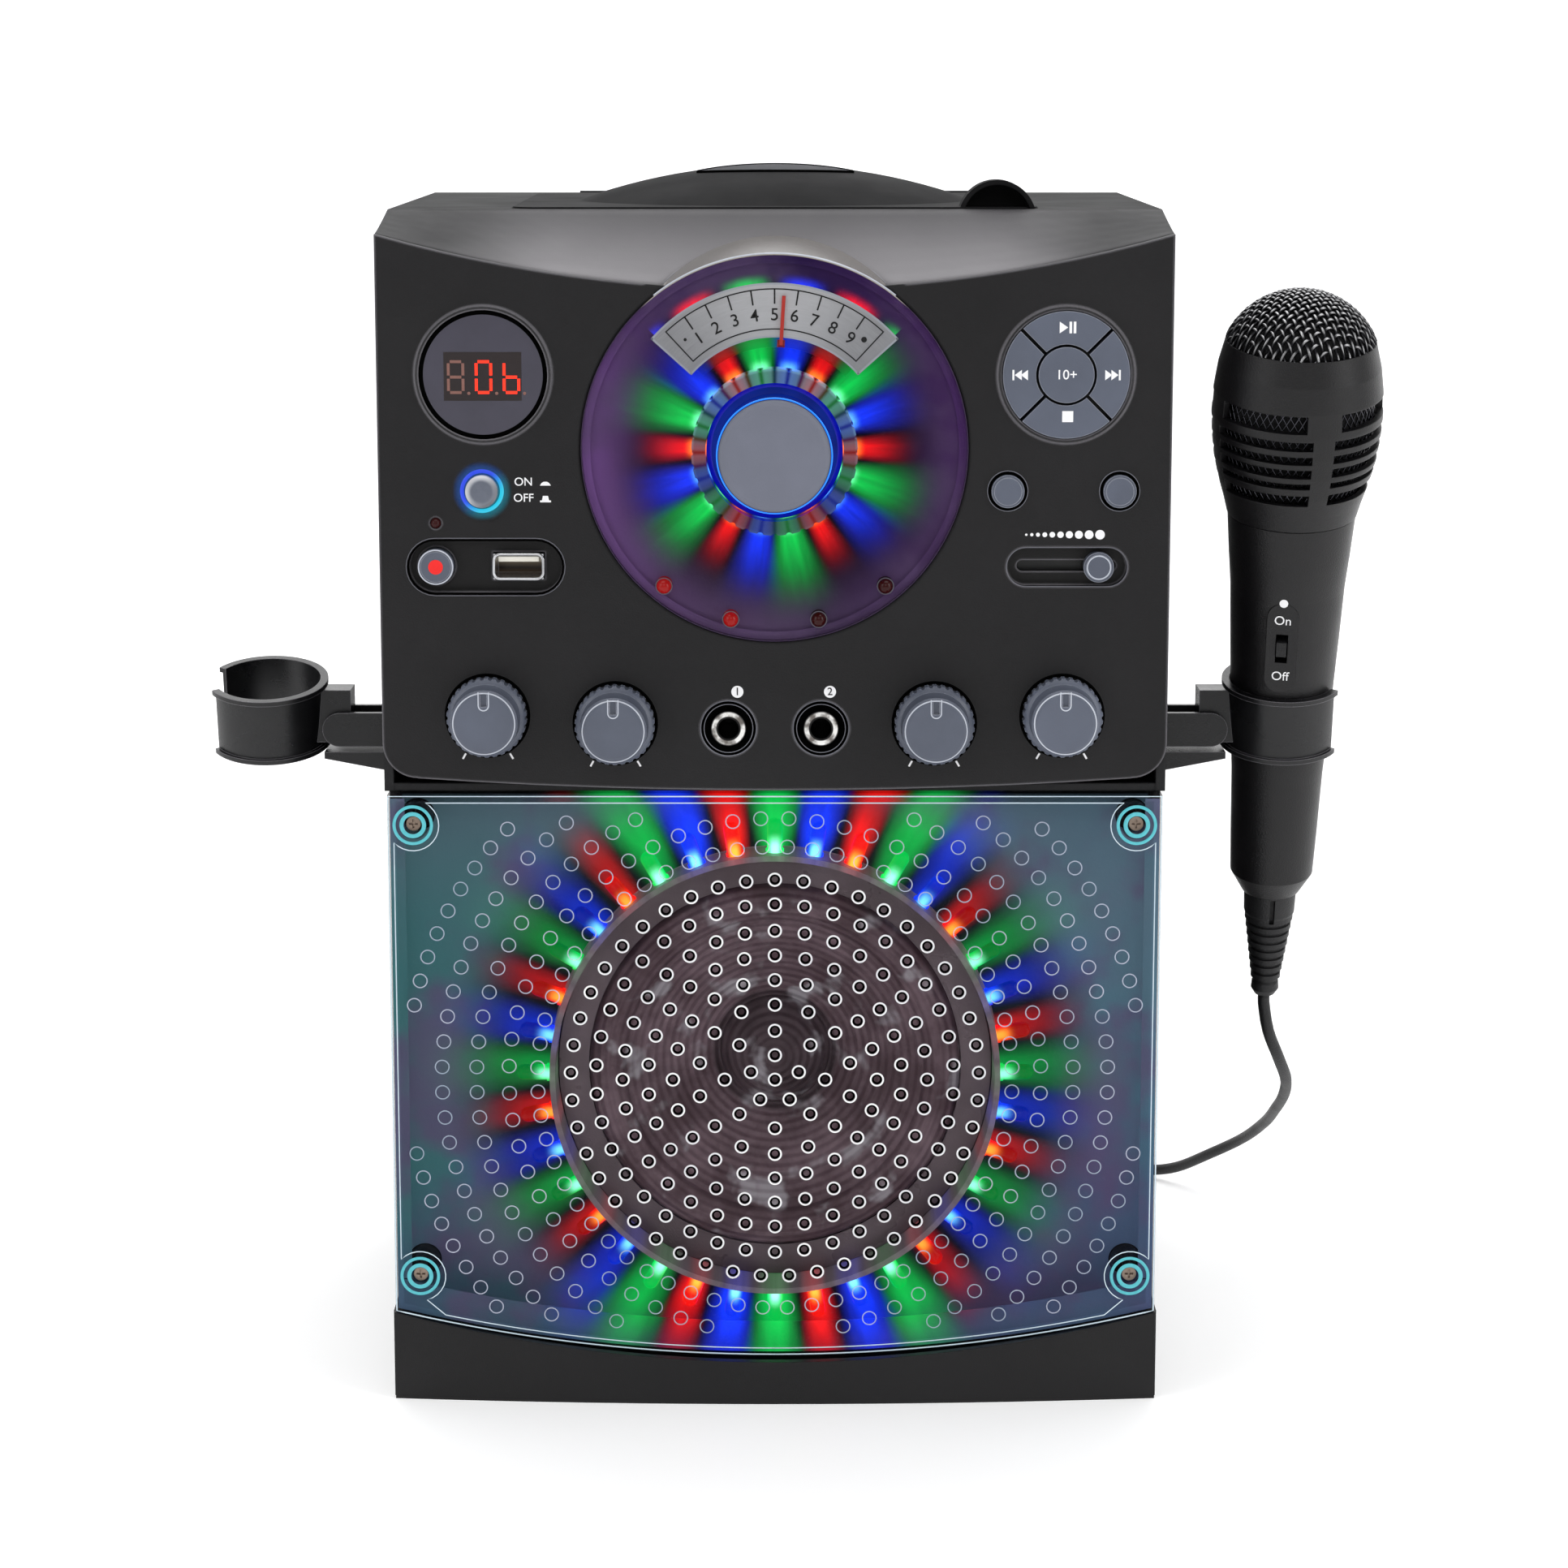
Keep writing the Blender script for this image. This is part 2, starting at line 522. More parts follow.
def reflector(name, height, count, shift, order, first, shapes, films):
    """A film with fans of light. The bay's has a wall round the speaker, and the dial's has hot spots."""
    made, tree, shader, place = material(name)
    turn, radius = polar(tree, place, height)
    step = add(tree, "Math.MULTIPLY_ADD", turn, float(count), shift)
    out = add(tree, "Math.MAXIMUM", add(tree, "Math.SUBTRACT", radius, first), 0.0)
    total = fans(tree, step, out, order, shapes)
    rays = add(tree, "CombineXYZ", add(tree, "Math.MULTIPLY", turn, 90.0),
               add(tree, "Math.MULTIPLY", radius, 40.0))
    streaks = add(tree, "TexNoise", rays, 1.0, 3.0, 0.6)
    power = add(tree, "Math.MULTIPLY_ADD", streaks, 1.1, 0.45)
    if count == BAY_LAMPS:
        z = add(tree, "Math.SUBTRACT", add(tree, "SeparateXYZ", place, out="Z"), height)
        ends = add(tree, "MapRange.SMOOTHSTEP", add(tree, "Math.ABSOLUTE", z), 0.062, 0.080)
        power = add(tree, "Math.MULTIPLY", power, add(tree, "Math.MULTIPLY_ADD", ends, 1.5, 0.75))
    else:
        hot = fans(tree, step, out, tuple(HOT[shade] for shade in order), ((0.44, 0, 0.0042, 1.1),) * 3)
        total = add(tree, "VectorMath.ADD", total, hot)
        edge = add(tree, "Math.MAXIMUM", add(tree, "Math.SUBTRACT", radius, 0.0508), 0.0)
        again = fans(tree, step, edge, order, ((0.5, 0, 0.0045, 1.3),) * 3)
        beyond = add(tree, "Math.MULTIPLY", add(tree, "MapRange.SMOOTHSTEP", radius, 0.0500, 0.0508),
                     add(tree, "Math.LESS_THAN", add(tree, "Math.ABSOLUTE", turn), 0.13))
        total = add(tree, "VectorMath.ADD", total, add(tree, "VectorMath.SCALE", again, beyond))
    total = add(tree, "VectorMath.SCALE", total, power)
    cloud = add(tree, "TexNoise", place, 9, 3.0)
    bent = add(tree, "Math.MULTIPLY_ADD", cloud, 0.5, 0.75)
    swing = add(tree, "Math.FRACT", add(tree, "Math.ADD", turn, bent))
    quarters = zip((0.0, 0.25, 0.5, 0.72, 1.0), (*films, films[0]))
    base = add(tree, "ValToRGB", swing, stops=[(k, colour(film)) for k, film in quarters])
    patch = add(tree, "MapRange.SMOOTHSTEP", add(tree, "TexNoise", place, 17, 4.0, 0.6), 0.48, 0.64)
    base = add(tree, "Mix.RGBA", add(tree, "Math.MULTIPLY", patch, 0.7), base, colour("#5e4a70"))
    away = add(tree, "MapRange.SMOOTHSTEP", radius, first + 12 * MM, first + 36 * MM)
    base = add(tree, "VectorMath.SCALE", base, add(tree, "Math.MULTIPLY_ADD", away, 0.9, 0.1))
    if count == BAY_LAMPS:
        wall = add(tree, "MapRange.SMOOTHSTEP", radius, 0.0725, 0.0723)
        base = add(tree, "Mix.RGBA", wall, base,
                   add(tree, "Mix.RGBA", streaks, colour("#4a4046"), colour("#93878f")))
        total = add(tree, "VectorMath.SCALE", total, add(tree, "Math.MULTIPLY_ADD", wall, -0.8, 1.0))
    tree.links.new(base, shader.inputs["Base Color"])
    tree.links.new(add(tree, "VectorMath.ADD", total, add(tree, "VectorMath.SCALE", base, 0.2)),
                   shader.inputs["Emission Color"])
    shader.inputs["Emission Strength"].default_value = 1.0
    shader.inputs["Specular IOR Level"].default_value = 0.05
    surface(tree, shader, place, 1.43, 0.15, 0.0, 0.35, 0.08)
    return made

# %% The bay's film and the dial's
bay_reflector = reflector("streaked PET film of the bay", SPEAKER.z, BAY_LAMPS, 0.0, BAY_ORDER, 73 * MM,
                          ((0.56, 9, 56 * MM, 0.8), (0.52, 7, 50 * MM, 0.95), (0.42, 4, 40 * MM, 0.9)),
                          ("#5f7080", "#4c7284", "#483f70", "#3e6e72"))
dial_film = reflector("streaked PET film of the dial", DIAL.z, DIAL_LAMPS, -0.5, DIAL_ORDER, 25 * MM,
                      ((0.55, 10, 33 * MM, 1.5), (0.42, 3, 25 * MM, 1.4), (0.58, 12, 36 * MM, 1.5)),
                      ("#1b1340", "#4a2c62", "#483e50", "#74508e"))
print("film of the bay:", len(bay_reflector.node_tree.nodes), "nodes, with", BAY_LAMPS, "fans")

# %% [markdown]
# ### The light diodes
#
# Each diode sits in a clear epoxy lens: its core is so bright that it looks nearly white, and its edge keeps
# the full colour. All lenses of a ring are one solid, so the shader picks each lens's colour from its angle.

# %% Lenses of the light diodes


def lamp(name, height, count, shift, order, strength):
    """Clear epoxy lenses round a ring, each lit in its own colour, with a pale core."""
    made, tree, shader, place = material(name)
    turn, radius = polar(tree, place, height)
    hue, across, index = lamp_colour(tree, turn, count, shift, order)
    seat = add(tree, "MapRange.SMOOTHSTEP", radius, 0.0785, 0.0735)
    z = add(tree, "Math.SUBTRACT", add(tree, "SeparateXYZ", place, out="Z"), height)
    ends = add(tree, "MapRange.SMOOTHSTEP", add(tree, "Math.ABSOLUTE", z), 0.055, 0.072)
    glow = add(tree, "Math.ADD", add(tree, "Math.MULTIPLY_ADD", seat, 1.0, 0.3),
               add(tree, "Math.MULTIPLY", ends, 0.7))
    bright = add(tree, "ValToRGB.CONSTANT", index,
                 stops=[(k / 3, HOT[shade]) for k, shade in enumerate(order)])
    core = add(tree, "Math.MULTIPLY", add(tree, "MapRange.SMOOTHSTEP", radius, 0.0790, 0.0740),
               add(tree, "MapRange.SMOOTHSTEP", across, 0.19, 0.03))
    hot = add(tree, "Mix.RGBA", core, hue, bright)
    tree.links.new(add(tree, "VectorMath.SCALE", hot, glow), shader.inputs["Emission Color"])
    tree.links.new(add(tree, "VectorMath.SCALE", hue, 0.15), shader.inputs["Base Color"])
    shader.inputs["Emission Strength"].default_value = strength
    shader.inputs["Specular IOR Level"].default_value = 0.15
    surface(tree, shader, place, 0.385, 0.05, 0.0, 0.12, 0.04)
    return made


bay_lamp = lamp("epoxy lenses of the bay", SPEAKER.z, BAY_LAMPS, 0.0, BAY_ORDER, 1.3)
dial_lamp = lamp("epoxy lenses of the dial", DIAL.z, DIAL_LAMPS, -0.5, DIAL_ORDER, 1.5)
print("light diodes:", BAY_LAMPS, "in the bay and", DIAL_LAMPS, "round the dial")

# %% [markdown]
# ## Clear plastics
#
# The speaker cover is clear polystyrene, and the dial's cover and the lid's window are acrylic with an IOR of
# 1.49. Glass-like transmission would be nearest to nature, but it bends the view of what lies behind and is
# grainy after few samples. Alpha lets the light straight through, which suits thin walls: most of it where
# the wall is seen square on, and less at a slant. Walls and edges carry light of the lamps along inside them,
# so they get a tint or a glow of their own.

# %% A clear moulding


def clear(name, tint, through, edge_tint, gloss=0.06, rim=None, glow=1.0, wall=None, shine=0.5):
    """A thin clear moulding. `rim` lights its upper edge with the lamps, and `wall` tints a round wall."""
    made, tree, shader, place = material(name)
    slant = add(tree, "LayerWeight", Blend=0.35, out="Facing")
    cover = add(tree, "MapRange", slant, 0.0, 1.0, through, 0.7)
    cloud = add(tree, "MapRange.SMOOTHSTEP", add(tree, "TexNoise", place, 30, 3.0), 0.3, 0.7)
    base = add(tree, "Mix.RGBA", cloud, colour(tint), colour(edge_tint))
    if wall is not None:
        height, reach, tone = wall
        outside = add(tree, "MapRange.SMOOTHSTEP", polar(tree, place, height)[1], reach - 0.0002, reach)
        upper = add(tree, "MapRange.SMOOTHSTEP", add(tree, "SeparateXYZ", place, out="Z"), height + 0.043,
                    height + 0.047)
        cover = add(tree, "Math.MAXIMUM", cover, add(tree, "Math.MULTIPLY", outside, 0.9))
        base = add(tree, "Mix.RGBA", outside, base,
                   add(tree, "Mix.RGBA", upper, colour("#3c2e48"), colour(tone)))
    tree.links.new(cover, shader.inputs["Alpha"])
    tree.links.new(base, shader.inputs["Base Color"])
    shader.inputs["Specular IOR Level"].default_value = shine
    if rim is not None:
        height, count, shift, order, low, inner, outer = rim
        turn, radius = polar(tree, place, height)
        step = add(tree, "Math.MULTIPLY_ADD", turn, float(count), shift)
        above = add(tree, "MapRange.SMOOTHSTEP", add(tree, "SeparateXYZ", place, out="Z"), low, low + MM)
        band = add(tree, "Math.MULTIPLY", above, add(tree, "MapRange.SMOOTHSTEP", radius, outer, inner))
        lit = fans(tree, step, 0.0, order, ((0.6, 0, 1.0, glow),) * 3)
        tree.links.new(add(tree, "VectorMath.SCALE", lit, band), shader.inputs["Emission Color"])
        shader.inputs["Emission Strength"].default_value = 1.0
    shader.inputs["IOR"].default_value = 1.49
    surface(tree, shader, place, 0.833, 0.03, 0.0, gloss, 0.02)
    return made


print("two walls of 5 percent stop", round(100 * (1 - 0.95 ** 2), 1), "percent of the light")

# %% The cover, the dial and the lid's window
# Clear polystyrene: nearly gone square on, with the lamps caught in its upper edge.
bay_clear = clear("clear polystyrene of the cover", "#1c1822", 0.05, "#1b2226", gloss=0.16, glow=1.1,
                  shine=0.12, rim=(SPEAKER.z, BAY_LAMPS, 0.0, BAY_ORDER, 194.5 * MM, 98 * MM, 118 * MM))
# Polished acrylic, with a milky wall round the dial.
dial_clear = clear("clear acrylic of the dial", "#2a1c1a", 0.04, "#1a1420", shine=0.15,
                   wall=(DIAL.z, 59.8 * MM, "#a8a19b"))
# Smoked acrylic, seen at such a slant that little shows through.
lid_clear = clear("smoked acrylic of the lid's window", "#3e3f44", 0.9, "#56575c", 0.4, shine=0.02)
print("the cover lets", round(100 * (1 - 0.05)), "percent through, seen square on")

# %% [markdown]
# ### The knob's skirt
#
# The volume knob stands on a notched skirt of clear acrylic. Each facet between two notches catches the
# daylight at its middle, and the lamps under it tint it. A refracting skirt would show that only with very
# many samples, so its facets are drawn from the angle: 36 of them, brighter at the top and at the outer rim.

# %% The notched skirt
FACETS = 36


def skirt():
    """A pale facet between each pair of notches, tinted by the lamp behind it."""
    made, tree, shader, place = material("clear acrylic of the skirt")
    turn, radius = polar(tree, place, DIAL.z)
    facet = add(tree, "Math.FRACT", add(tree, "Math.MULTIPLY", turn, float(FACETS)))
    off = add(tree, "Math.ABSOLUTE", add(tree, "Math.SUBTRACT", facet, 0.5))
    middle = add(tree, "MapRange.SMOOTHSTEP", off, 0.5, 0.2)
    z = add(tree, "Math.SUBTRACT", add(tree, "SeparateXYZ", place, out="Z"), DIAL.z)
    upper = add(tree, "Math.MULTIPLY_ADD", add(tree, "MapRange.SMOOTHSTEP", z, -0.012, 0.022), 0.85, 0.15)
    step = add(tree, "Math.MULTIPLY_ADD", turn, float(DIAL_LAMPS), -0.5)
    tinted = fans(tree, step, 0.0, DIAL_ORDER, ((0.7, 0, 1.0, 0.32),) * 3)
    rim = add(tree, "Math.MULTIPLY_ADD", add(tree, "MapRange.SMOOTHSTEP", radius, 0.0246, 0.0254), 1.2, 1.0)
    pale = add(tree, "VectorMath.SCALE", colour("#4b6c73")[:3],
               add(tree, "Math.MULTIPLY", add(tree, "Math.MULTIPLY", middle, upper), rim))
    tree.links.new(add(tree, "VectorMath.ADD", tinted, pale), shader.inputs["Emission Color"])
    shader.inputs["Emission Strength"].default_value = 0.75
    tree.links.new(add(tree, "Mix.RGBA", middle, colour("#080b12"), colour("#2a3140")),
                   shader.inputs["Base Color"])
    shader.inputs["Alpha"].default_value = 0.9
    shader.inputs["Specular IOR Level"].default_value = 0.2
    surface(tree, shader, place, 0.833, 0.03, 0.0, 0.1, 0.02)
    return made


skirt_clear = skirt()
print("skirt with", FACETS, "facets")

# %% [markdown]
# ## Small lamps and the display
#
# The display's bars, the rings round the knob and the status lamps are diffusing plastic with a light diode
# behind. Their light is even but never flat, so a fine noise varies it. A lamp object behind each would cost
# render time and light nothing that can be seen.

# %% Lit plastic


def glowing(name, base, light, strength, gloss=0.15):
    """Diffusing plastic with a light behind it."""
    made, tree, shader, place = material(name)
    cloud = add(tree, "TexNoise", place, 900, 2.0)
    tree.links.new(add(tree, "Mix.RGBA", cloud, colour(base), colour(base, 1.4)),
                   shader.inputs["Base Color"])
    tree.links.new(add(tree, "Mix.RGBA", cloud, colour(light), colour(light, 0.75)),
                   shader.inputs["Emission Color"])
    shader.inputs["Emission Strength"].default_value = strength
    surface(tree, shader, place, 0.385, 0.05, 0.0, gloss, 0.03)
    return made


def split_lamp():
    """Status lamps: the left two of the dial are lit more, and the others are dim."""
    made, tree, shader, place = material("red epoxy of the status lamps")
    x = add(tree, "SeparateXYZ", place, out="X")
    lit = add(tree, "Math.MULTIPLY", add(tree, "Math.LESS_THAN", x, 0.0),
              add(tree, "Math.GREATER_THAN", x, -0.08))
    tree.links.new(add(tree, "Mix.RGBA", lit, colour("#2c0606"), colour("#6c0c0a")),
                   shader.inputs["Base Color"])
    tree.links.new(add(tree, "Mix.RGBA", lit, colour("#120202"), colour("#8a0c0c")),
                   shader.inputs["Emission Color"])
    shader.inputs["Emission Strength"].default_value = 0.7
    shader.inputs["Specular IOR Level"].default_value = 0.2
    surface(tree, shader, place, 0.385, 0.05, 0.0, 0.1, 0.03)
    return made


print("lit red is", [round(part, 3) for part in colour("#ff2408")[:3]], "in linear light")

# %% [markdown]
# ## The paper cone
#
# The speaker's cone is pressed paper pulp with fine rings in it, and light of the lamps makes it look
# brownish violet. Rings could be cut into the mesh, but at 2.4 mm apart a bump shows them as well. Pale
# spots are where the cover's clear moulding reflects the room onto it.

# %% Pressed paper


def paper():
    """Paper pulp with pressed rings, cloudy and spotted, and darker on the dust cap."""
    made, tree, shader, place = material("pressed paper of the cone")
    _, radius = polar(tree, place, SPEAKER.z)
    ribs = add(tree, "Math.SINE", add(tree, "Math.MULTIPLY", radius, 2 * math.pi / (2.4166 * MM)))
    blot = add(tree, "MapRange.SMOOTHSTEP", add(tree, "TexNoise", place, 45, 6.0, 0.7), 0.35, 0.7)
    spots = add(tree, "MapRange.SMOOTHSTEP", add(tree, "TexNoise", place, 75, 3.0, 0.5), 0.57, 0.70)
    tone = add(tree, "Mix.RGBA", blot, colour("#5a434b"), colour("#8c747e"))
    cap = add(tree, "MapRange.SMOOTHSTEP", radius, 0.0215, 0.0195)
    tone = add(tree, "Mix.RGBA", add(tree, "Math.MULTIPLY", cap, 0.6), tone, colour("#2c2226"))
    tree.links.new(add(tree, "Mix.RGBA", add(tree, "Math.MULTIPLY", spots, 0.7), tone, colour("#c9c4cc")),
                   shader.inputs["Base Color"])
    bump = add(tree, "Bump", Strength=0.5, Distance=0.0005, Height=ribs)
    tree.links.new(bump, shader.inputs["Normal"])
    shader.inputs["Roughness"].default_value = 0.7
    return made


print("rings 2.4166 mm apart are", round(2 * math.pi / 2.4166, 2), "radians to the millimetre")

# %% [markdown]
# ## The painted brow and the silver gauge
#
# The sloping brow is ABS under metallic paint. Its flakes lie flat, so it is light where it faces the room
# and dark where it curves away. A true flake shader changes with the viewer and is lost in an export, so the
# light and dark lie in the paint itself. The gauge is brushed silver paint: noise that is stretched round the
# dial, 0.3 mm wide, in place of brush lines of 0.05 mm that would not show.

# %% Metallic paint of the brow


def brow():
    """Lighter in the middle and towards the lower edge, and dark at the ends."""
    made, tree, shader, place = material("metallic paint of the brow")
    x, _, z = add(tree, "SeparateXYZ", place).node.outputs
    ends = add(tree, "MapRange.SMOOTHSTEP", add(tree, "Math.ABSOLUTE", x), 108 * MM, 66 * MM)
    low = add(tree, "MapRange.SMOOTHSTEP", z, 381 * MM, 358 * MM)
    cloud = add(tree, "Math.MULTIPLY_ADD", add(tree, "TexNoise", place, 22, 5.0, 0.6), 0.3, 0.85)
    lit = add(tree, "Math.MULTIPLY", ends, add(tree, "Math.MULTIPLY_ADD", low, 0.6, 0.4))
    tone = add(tree, "Math.MULTIPLY", lit, cloud)
    tree.links.new(add(tree, "Mix.RGBA", tone, colour("#18171a"), colour("#7a787b")),
                   shader.inputs["Base Color"])
    shader.inputs["Specular IOR Level"].default_value = 0.08
    surface(tree, shader, place, 0.385, 0.12, 0.0045, 0.45, 0.05)
    return made


brow_plastic = brow()
print("brow:", len(brow_plastic.node_tree.nodes), "nodes")

# %% Brushed silver paint


def gauge():
    """Brushed silver paint of the gauge, brighter in the middle than at the ends."""
    made, tree, shader, place = material("brushed silver paint of the gauge")
    turn, radius = polar(tree, place, DIAL.z)
    brushed = add(tree, "CombineXYZ", add(tree, "Math.MULTIPLY", turn, 30.0),
                  add(tree, "Math.MULTIPLY", radius, patches(1 / 3)))
    grain = add(tree, "TexNoise", brushed, 1.0, 2.0)
    middle = add(tree, "MapRange.SMOOTHSTEP", add(tree, "Math.ABSOLUTE", turn), 0.13, 0.01)
    tone = add(tree, "Math.MULTIPLY_ADD", grain, 0.35, add(tree, "Math.MULTIPLY_ADD", middle, 0.55, 0.1))
    tree.links.new(add(tree, "Mix.RGBA", tone, colour("#8b8c91"), colour("#dcdde0")),
                   shader.inputs["Base Color"])
    shader.inputs["Specular IOR Level"].default_value = 0.4
    surface(tree, shader, place, 1.11, 0.1, 0.0002, 0.34, 0.05)
    return made


gauge_silver = gauge()
print("gauge:", len(gauge_silver.node_tree.nodes), "nodes")

# %% [markdown]
# ## Knob, power button and board
#
# These three finishes change over a few millimetres. The volume knob is grey ABS on its face, and its side
# takes up blue light from below. The power button is chromed plastic with a hollow middle. The board behind
# the dial is black epoxy, and the lamps shine on it where the needle's slot opens the view. Each could be cut
# into parts with a material each. A mask from the place of a point gives a soft change instead.

# %% The volume knob's cap


def knob_cap():
    """A grey face, and a side that is lit blue from below."""
    made, tree, shader, place = material("grey ABS of the volume knob")
    y = add(tree, "SeparateXYZ", place, out="Y")
    face = add(tree, "MapRange.SMOOTHSTEP", y, -0.1330, -0.1338)
    cloud = add(tree, "TexNoise", place, 60, 3.0)
    tree.links.new(add(tree, "Mix.RGBA", face, colour("#0a1236"),
                       add(tree, "Mix.RGBA", cloud, colour("#686b77"), colour("#767986"))),
                   shader.inputs["Base Color"])
    deep = add(tree, "MapRange.SMOOTHSTEP", y, -0.134, -0.114)
    side = add(tree, "Math.MULTIPLY", add(tree, "Math.SUBTRACT", 1.0, face),
               add(tree, "Math.MULTIPLY_ADD", deep, 0.65, 0.25))
    blotch = add(tree, "Math.MULTIPLY_ADD", add(tree, "TexNoise", place, 70, 2.0), 1.2, 0.1)
    uneven = add(tree, "Math.MULTIPLY", side, blotch)
    tree.links.new(add(tree, "VectorMath.SCALE", colour("#072795")[:3], uneven),
                   shader.inputs["Emission Color"])
    shader.inputs["Emission Strength"].default_value = 1.0
    shader.inputs["Specular IOR Level"].default_value = 0.15
    surface(tree, shader, place, 0.385, 0.1, 0.0006, 0.4, 0.03)
    return made


cap_plastic = knob_cap()
print("knob:", len(cap_plastic.node_tree.nodes), "nodes")

# %% The power button
POWER = Vector((-0.0908, FRONT, 0.294))


def power_cap():
    """Chromed ABS, darker in its hollow middle and bright towards its upper left edge."""
    made, tree, shader, place = material("chromed ABS of the power button")
    x, _, z = add(tree, "SeparateXYZ", place).node.outputs
    dx = add(tree, "Math.SUBTRACT", x, POWER.x)
    dz = add(tree, "Math.SUBTRACT", z, POWER.z)
    radius = add(tree, "Math.SQRT", add(tree, "Math.ADD", add(tree, "Math.MULTIPLY", dx, dx),
                                        add(tree, "Math.MULTIPLY", dz, dz)))
    edge = add(tree, "MapRange.SMOOTHSTEP", radius, 0.0030, 0.0050)
    slope = add(tree, "MapRange.SMOOTHSTEP", add(tree, "Math.SUBTRACT", dz, dx), -6 * MM, 6 * MM)
    side = add(tree, "Math.MULTIPLY_ADD", slope, 0.8, 0.2)
    tone = add(tree, "Math.MULTIPLY", edge, side)
    cloudy = add(tree, "Mix.RGBA", add(tree, "TexNoise", place, 500), colour("#5d626e"), colour("#6c717e"))
    tree.links.new(add(tree, "Mix.RGBA", tone, cloudy, colour("#eef1f6")), shader.inputs["Base Color"])
    shader.inputs["Metallic"].default_value = 0.3
    surface(tree, shader, place, 0.385, 0.04, 0.0026, 0.25, 0.03)
    return made


power_metal = power_cap()
print("power button:", len(power_metal.node_tree.nodes), "nodes")

# %% The board behind the dial


def lit_board():
    """Black epoxy that the lamps shine on near the knob."""
    made, tree, shader, place = material("black epoxy board")
    turn, radius = polar(tree, place, DIAL.z)
    step = add(tree, "Math.MULTIPLY_ADD", turn, float(DIAL_LAMPS), -0.5)
    out = add(tree, "Math.MAXIMUM", add(tree, "Math.SUBTRACT", radius, 25 * MM), 0.0)
    light_on = fans(tree, step, out, DIAL_ORDER,
                    ((0.62, 12, 0.026, 1.2), (0.5, 4, 0.020, 1.0), (0.66, 14, 0.027, 1.2)))
    near = add(tree, "MapRange.SMOOTHSTEP", radius, 0.040, 0.036)
    tree.links.new(add(tree, "VectorMath.SCALE", light_on, near), shader.inputs["Emission Color"])
    shader.inputs["Emission Strength"].default_value = 1.0
    cloud = add(tree, "TexNoise", place, 40, 3.0)
    tree.links.new(add(tree, "Mix.RGBA", cloud, colour("#08090a"), colour("#101113")),
                   shader.inputs["Base Color"])
    surface(tree, shader, place, 1.11, 0.1, 0.0, 0.35, 0.08)
    return made


board_lit = lit_board()
print("board:", len(board_lit.node_tree.nodes), "nodes")

# %% [markdown]
# ## Sockets
#
# The data socket is a shell of tinned sheet steel round a pale plastic tongue, and the microphone jacks are
# nickel-plated brass nuts with a black bore. What lies inside a socket is too small and too dark to be worth
# solids of its own here, so the shader paints the tongue and the bore from the place of a point.

# %% The data socket's shell
SOCKET = Vector((-0.0798, FRONT, 0.2703))


def socket_shell():
    """Tinned steel. Inside it the tongue is pale at the top, and the back is brown and dark."""
    made, tree, shader, place = material("tinned steel of the socket")
    x, y, z = add(tree, "SeparateXYZ", place).node.outputs
    dx = add(tree, "Math.ABSOLUTE", add(tree, "Math.SUBTRACT", x, SOCKET.x))
    dz = add(tree, "Math.SUBTRACT", z, SOCKET.z)
    inside = add(tree, "Math.MULTIPLY", add(tree, "MapRange.SMOOTHSTEP", dx, 0.0075, 0.0070),
                 add(tree, "MapRange.SMOOTHSTEP", add(tree, "Math.ABSOLUTE", dz), 0.0037, 0.0033))
    depth = add(tree, "MapRange.SMOOTHSTEP", y, FRONT + 1.2 * MM, FRONT + 2.2 * MM)
    height = add(tree, "Math.DIVIDE", add(tree, "Math.ADD", dz, 0.0035), 0.007)
    tongue = ((0.0, "#6a5238"), (0.22, "#33261a"), (0.42, "#6d5d44"), (0.58, "#e8e2d0"), (1.0, "#fbfaf4"))
    tone = add(tree, "ValToRGB", height, stops=[(k, colour(shade)) for k, shade in tongue])
    inner = add(tree, "Math.MULTIPLY", inside, depth)
    cloud = add(tree, "TexNoise", place, 500, 3.0)
    tin = add(tree, "Mix.RGBA", cloud, colour("#b9bbbf"), colour("#e4e5e8"))
    tree.links.new(add(tree, "Mix.RGBA", inner, tin, tone), shader.inputs["Base Color"])
    tree.links.new(add(tree, "Math.SUBTRACT", 1.0, add(tree, "Math.MULTIPLY", inner, 0.8)),
                   shader.inputs["Metallic"])
    surface(tree, shader, place, 0.3125, 0.04, 0.0004, 0.16, 0.05)
    return made


usb_metal = socket_shell()
print("socket:", len(usb_metal.node_tree.nodes), "nodes")

# %% The jacks' nuts
JACK_X, JACK_Z = 14.5 * MM, 219.4 * MM


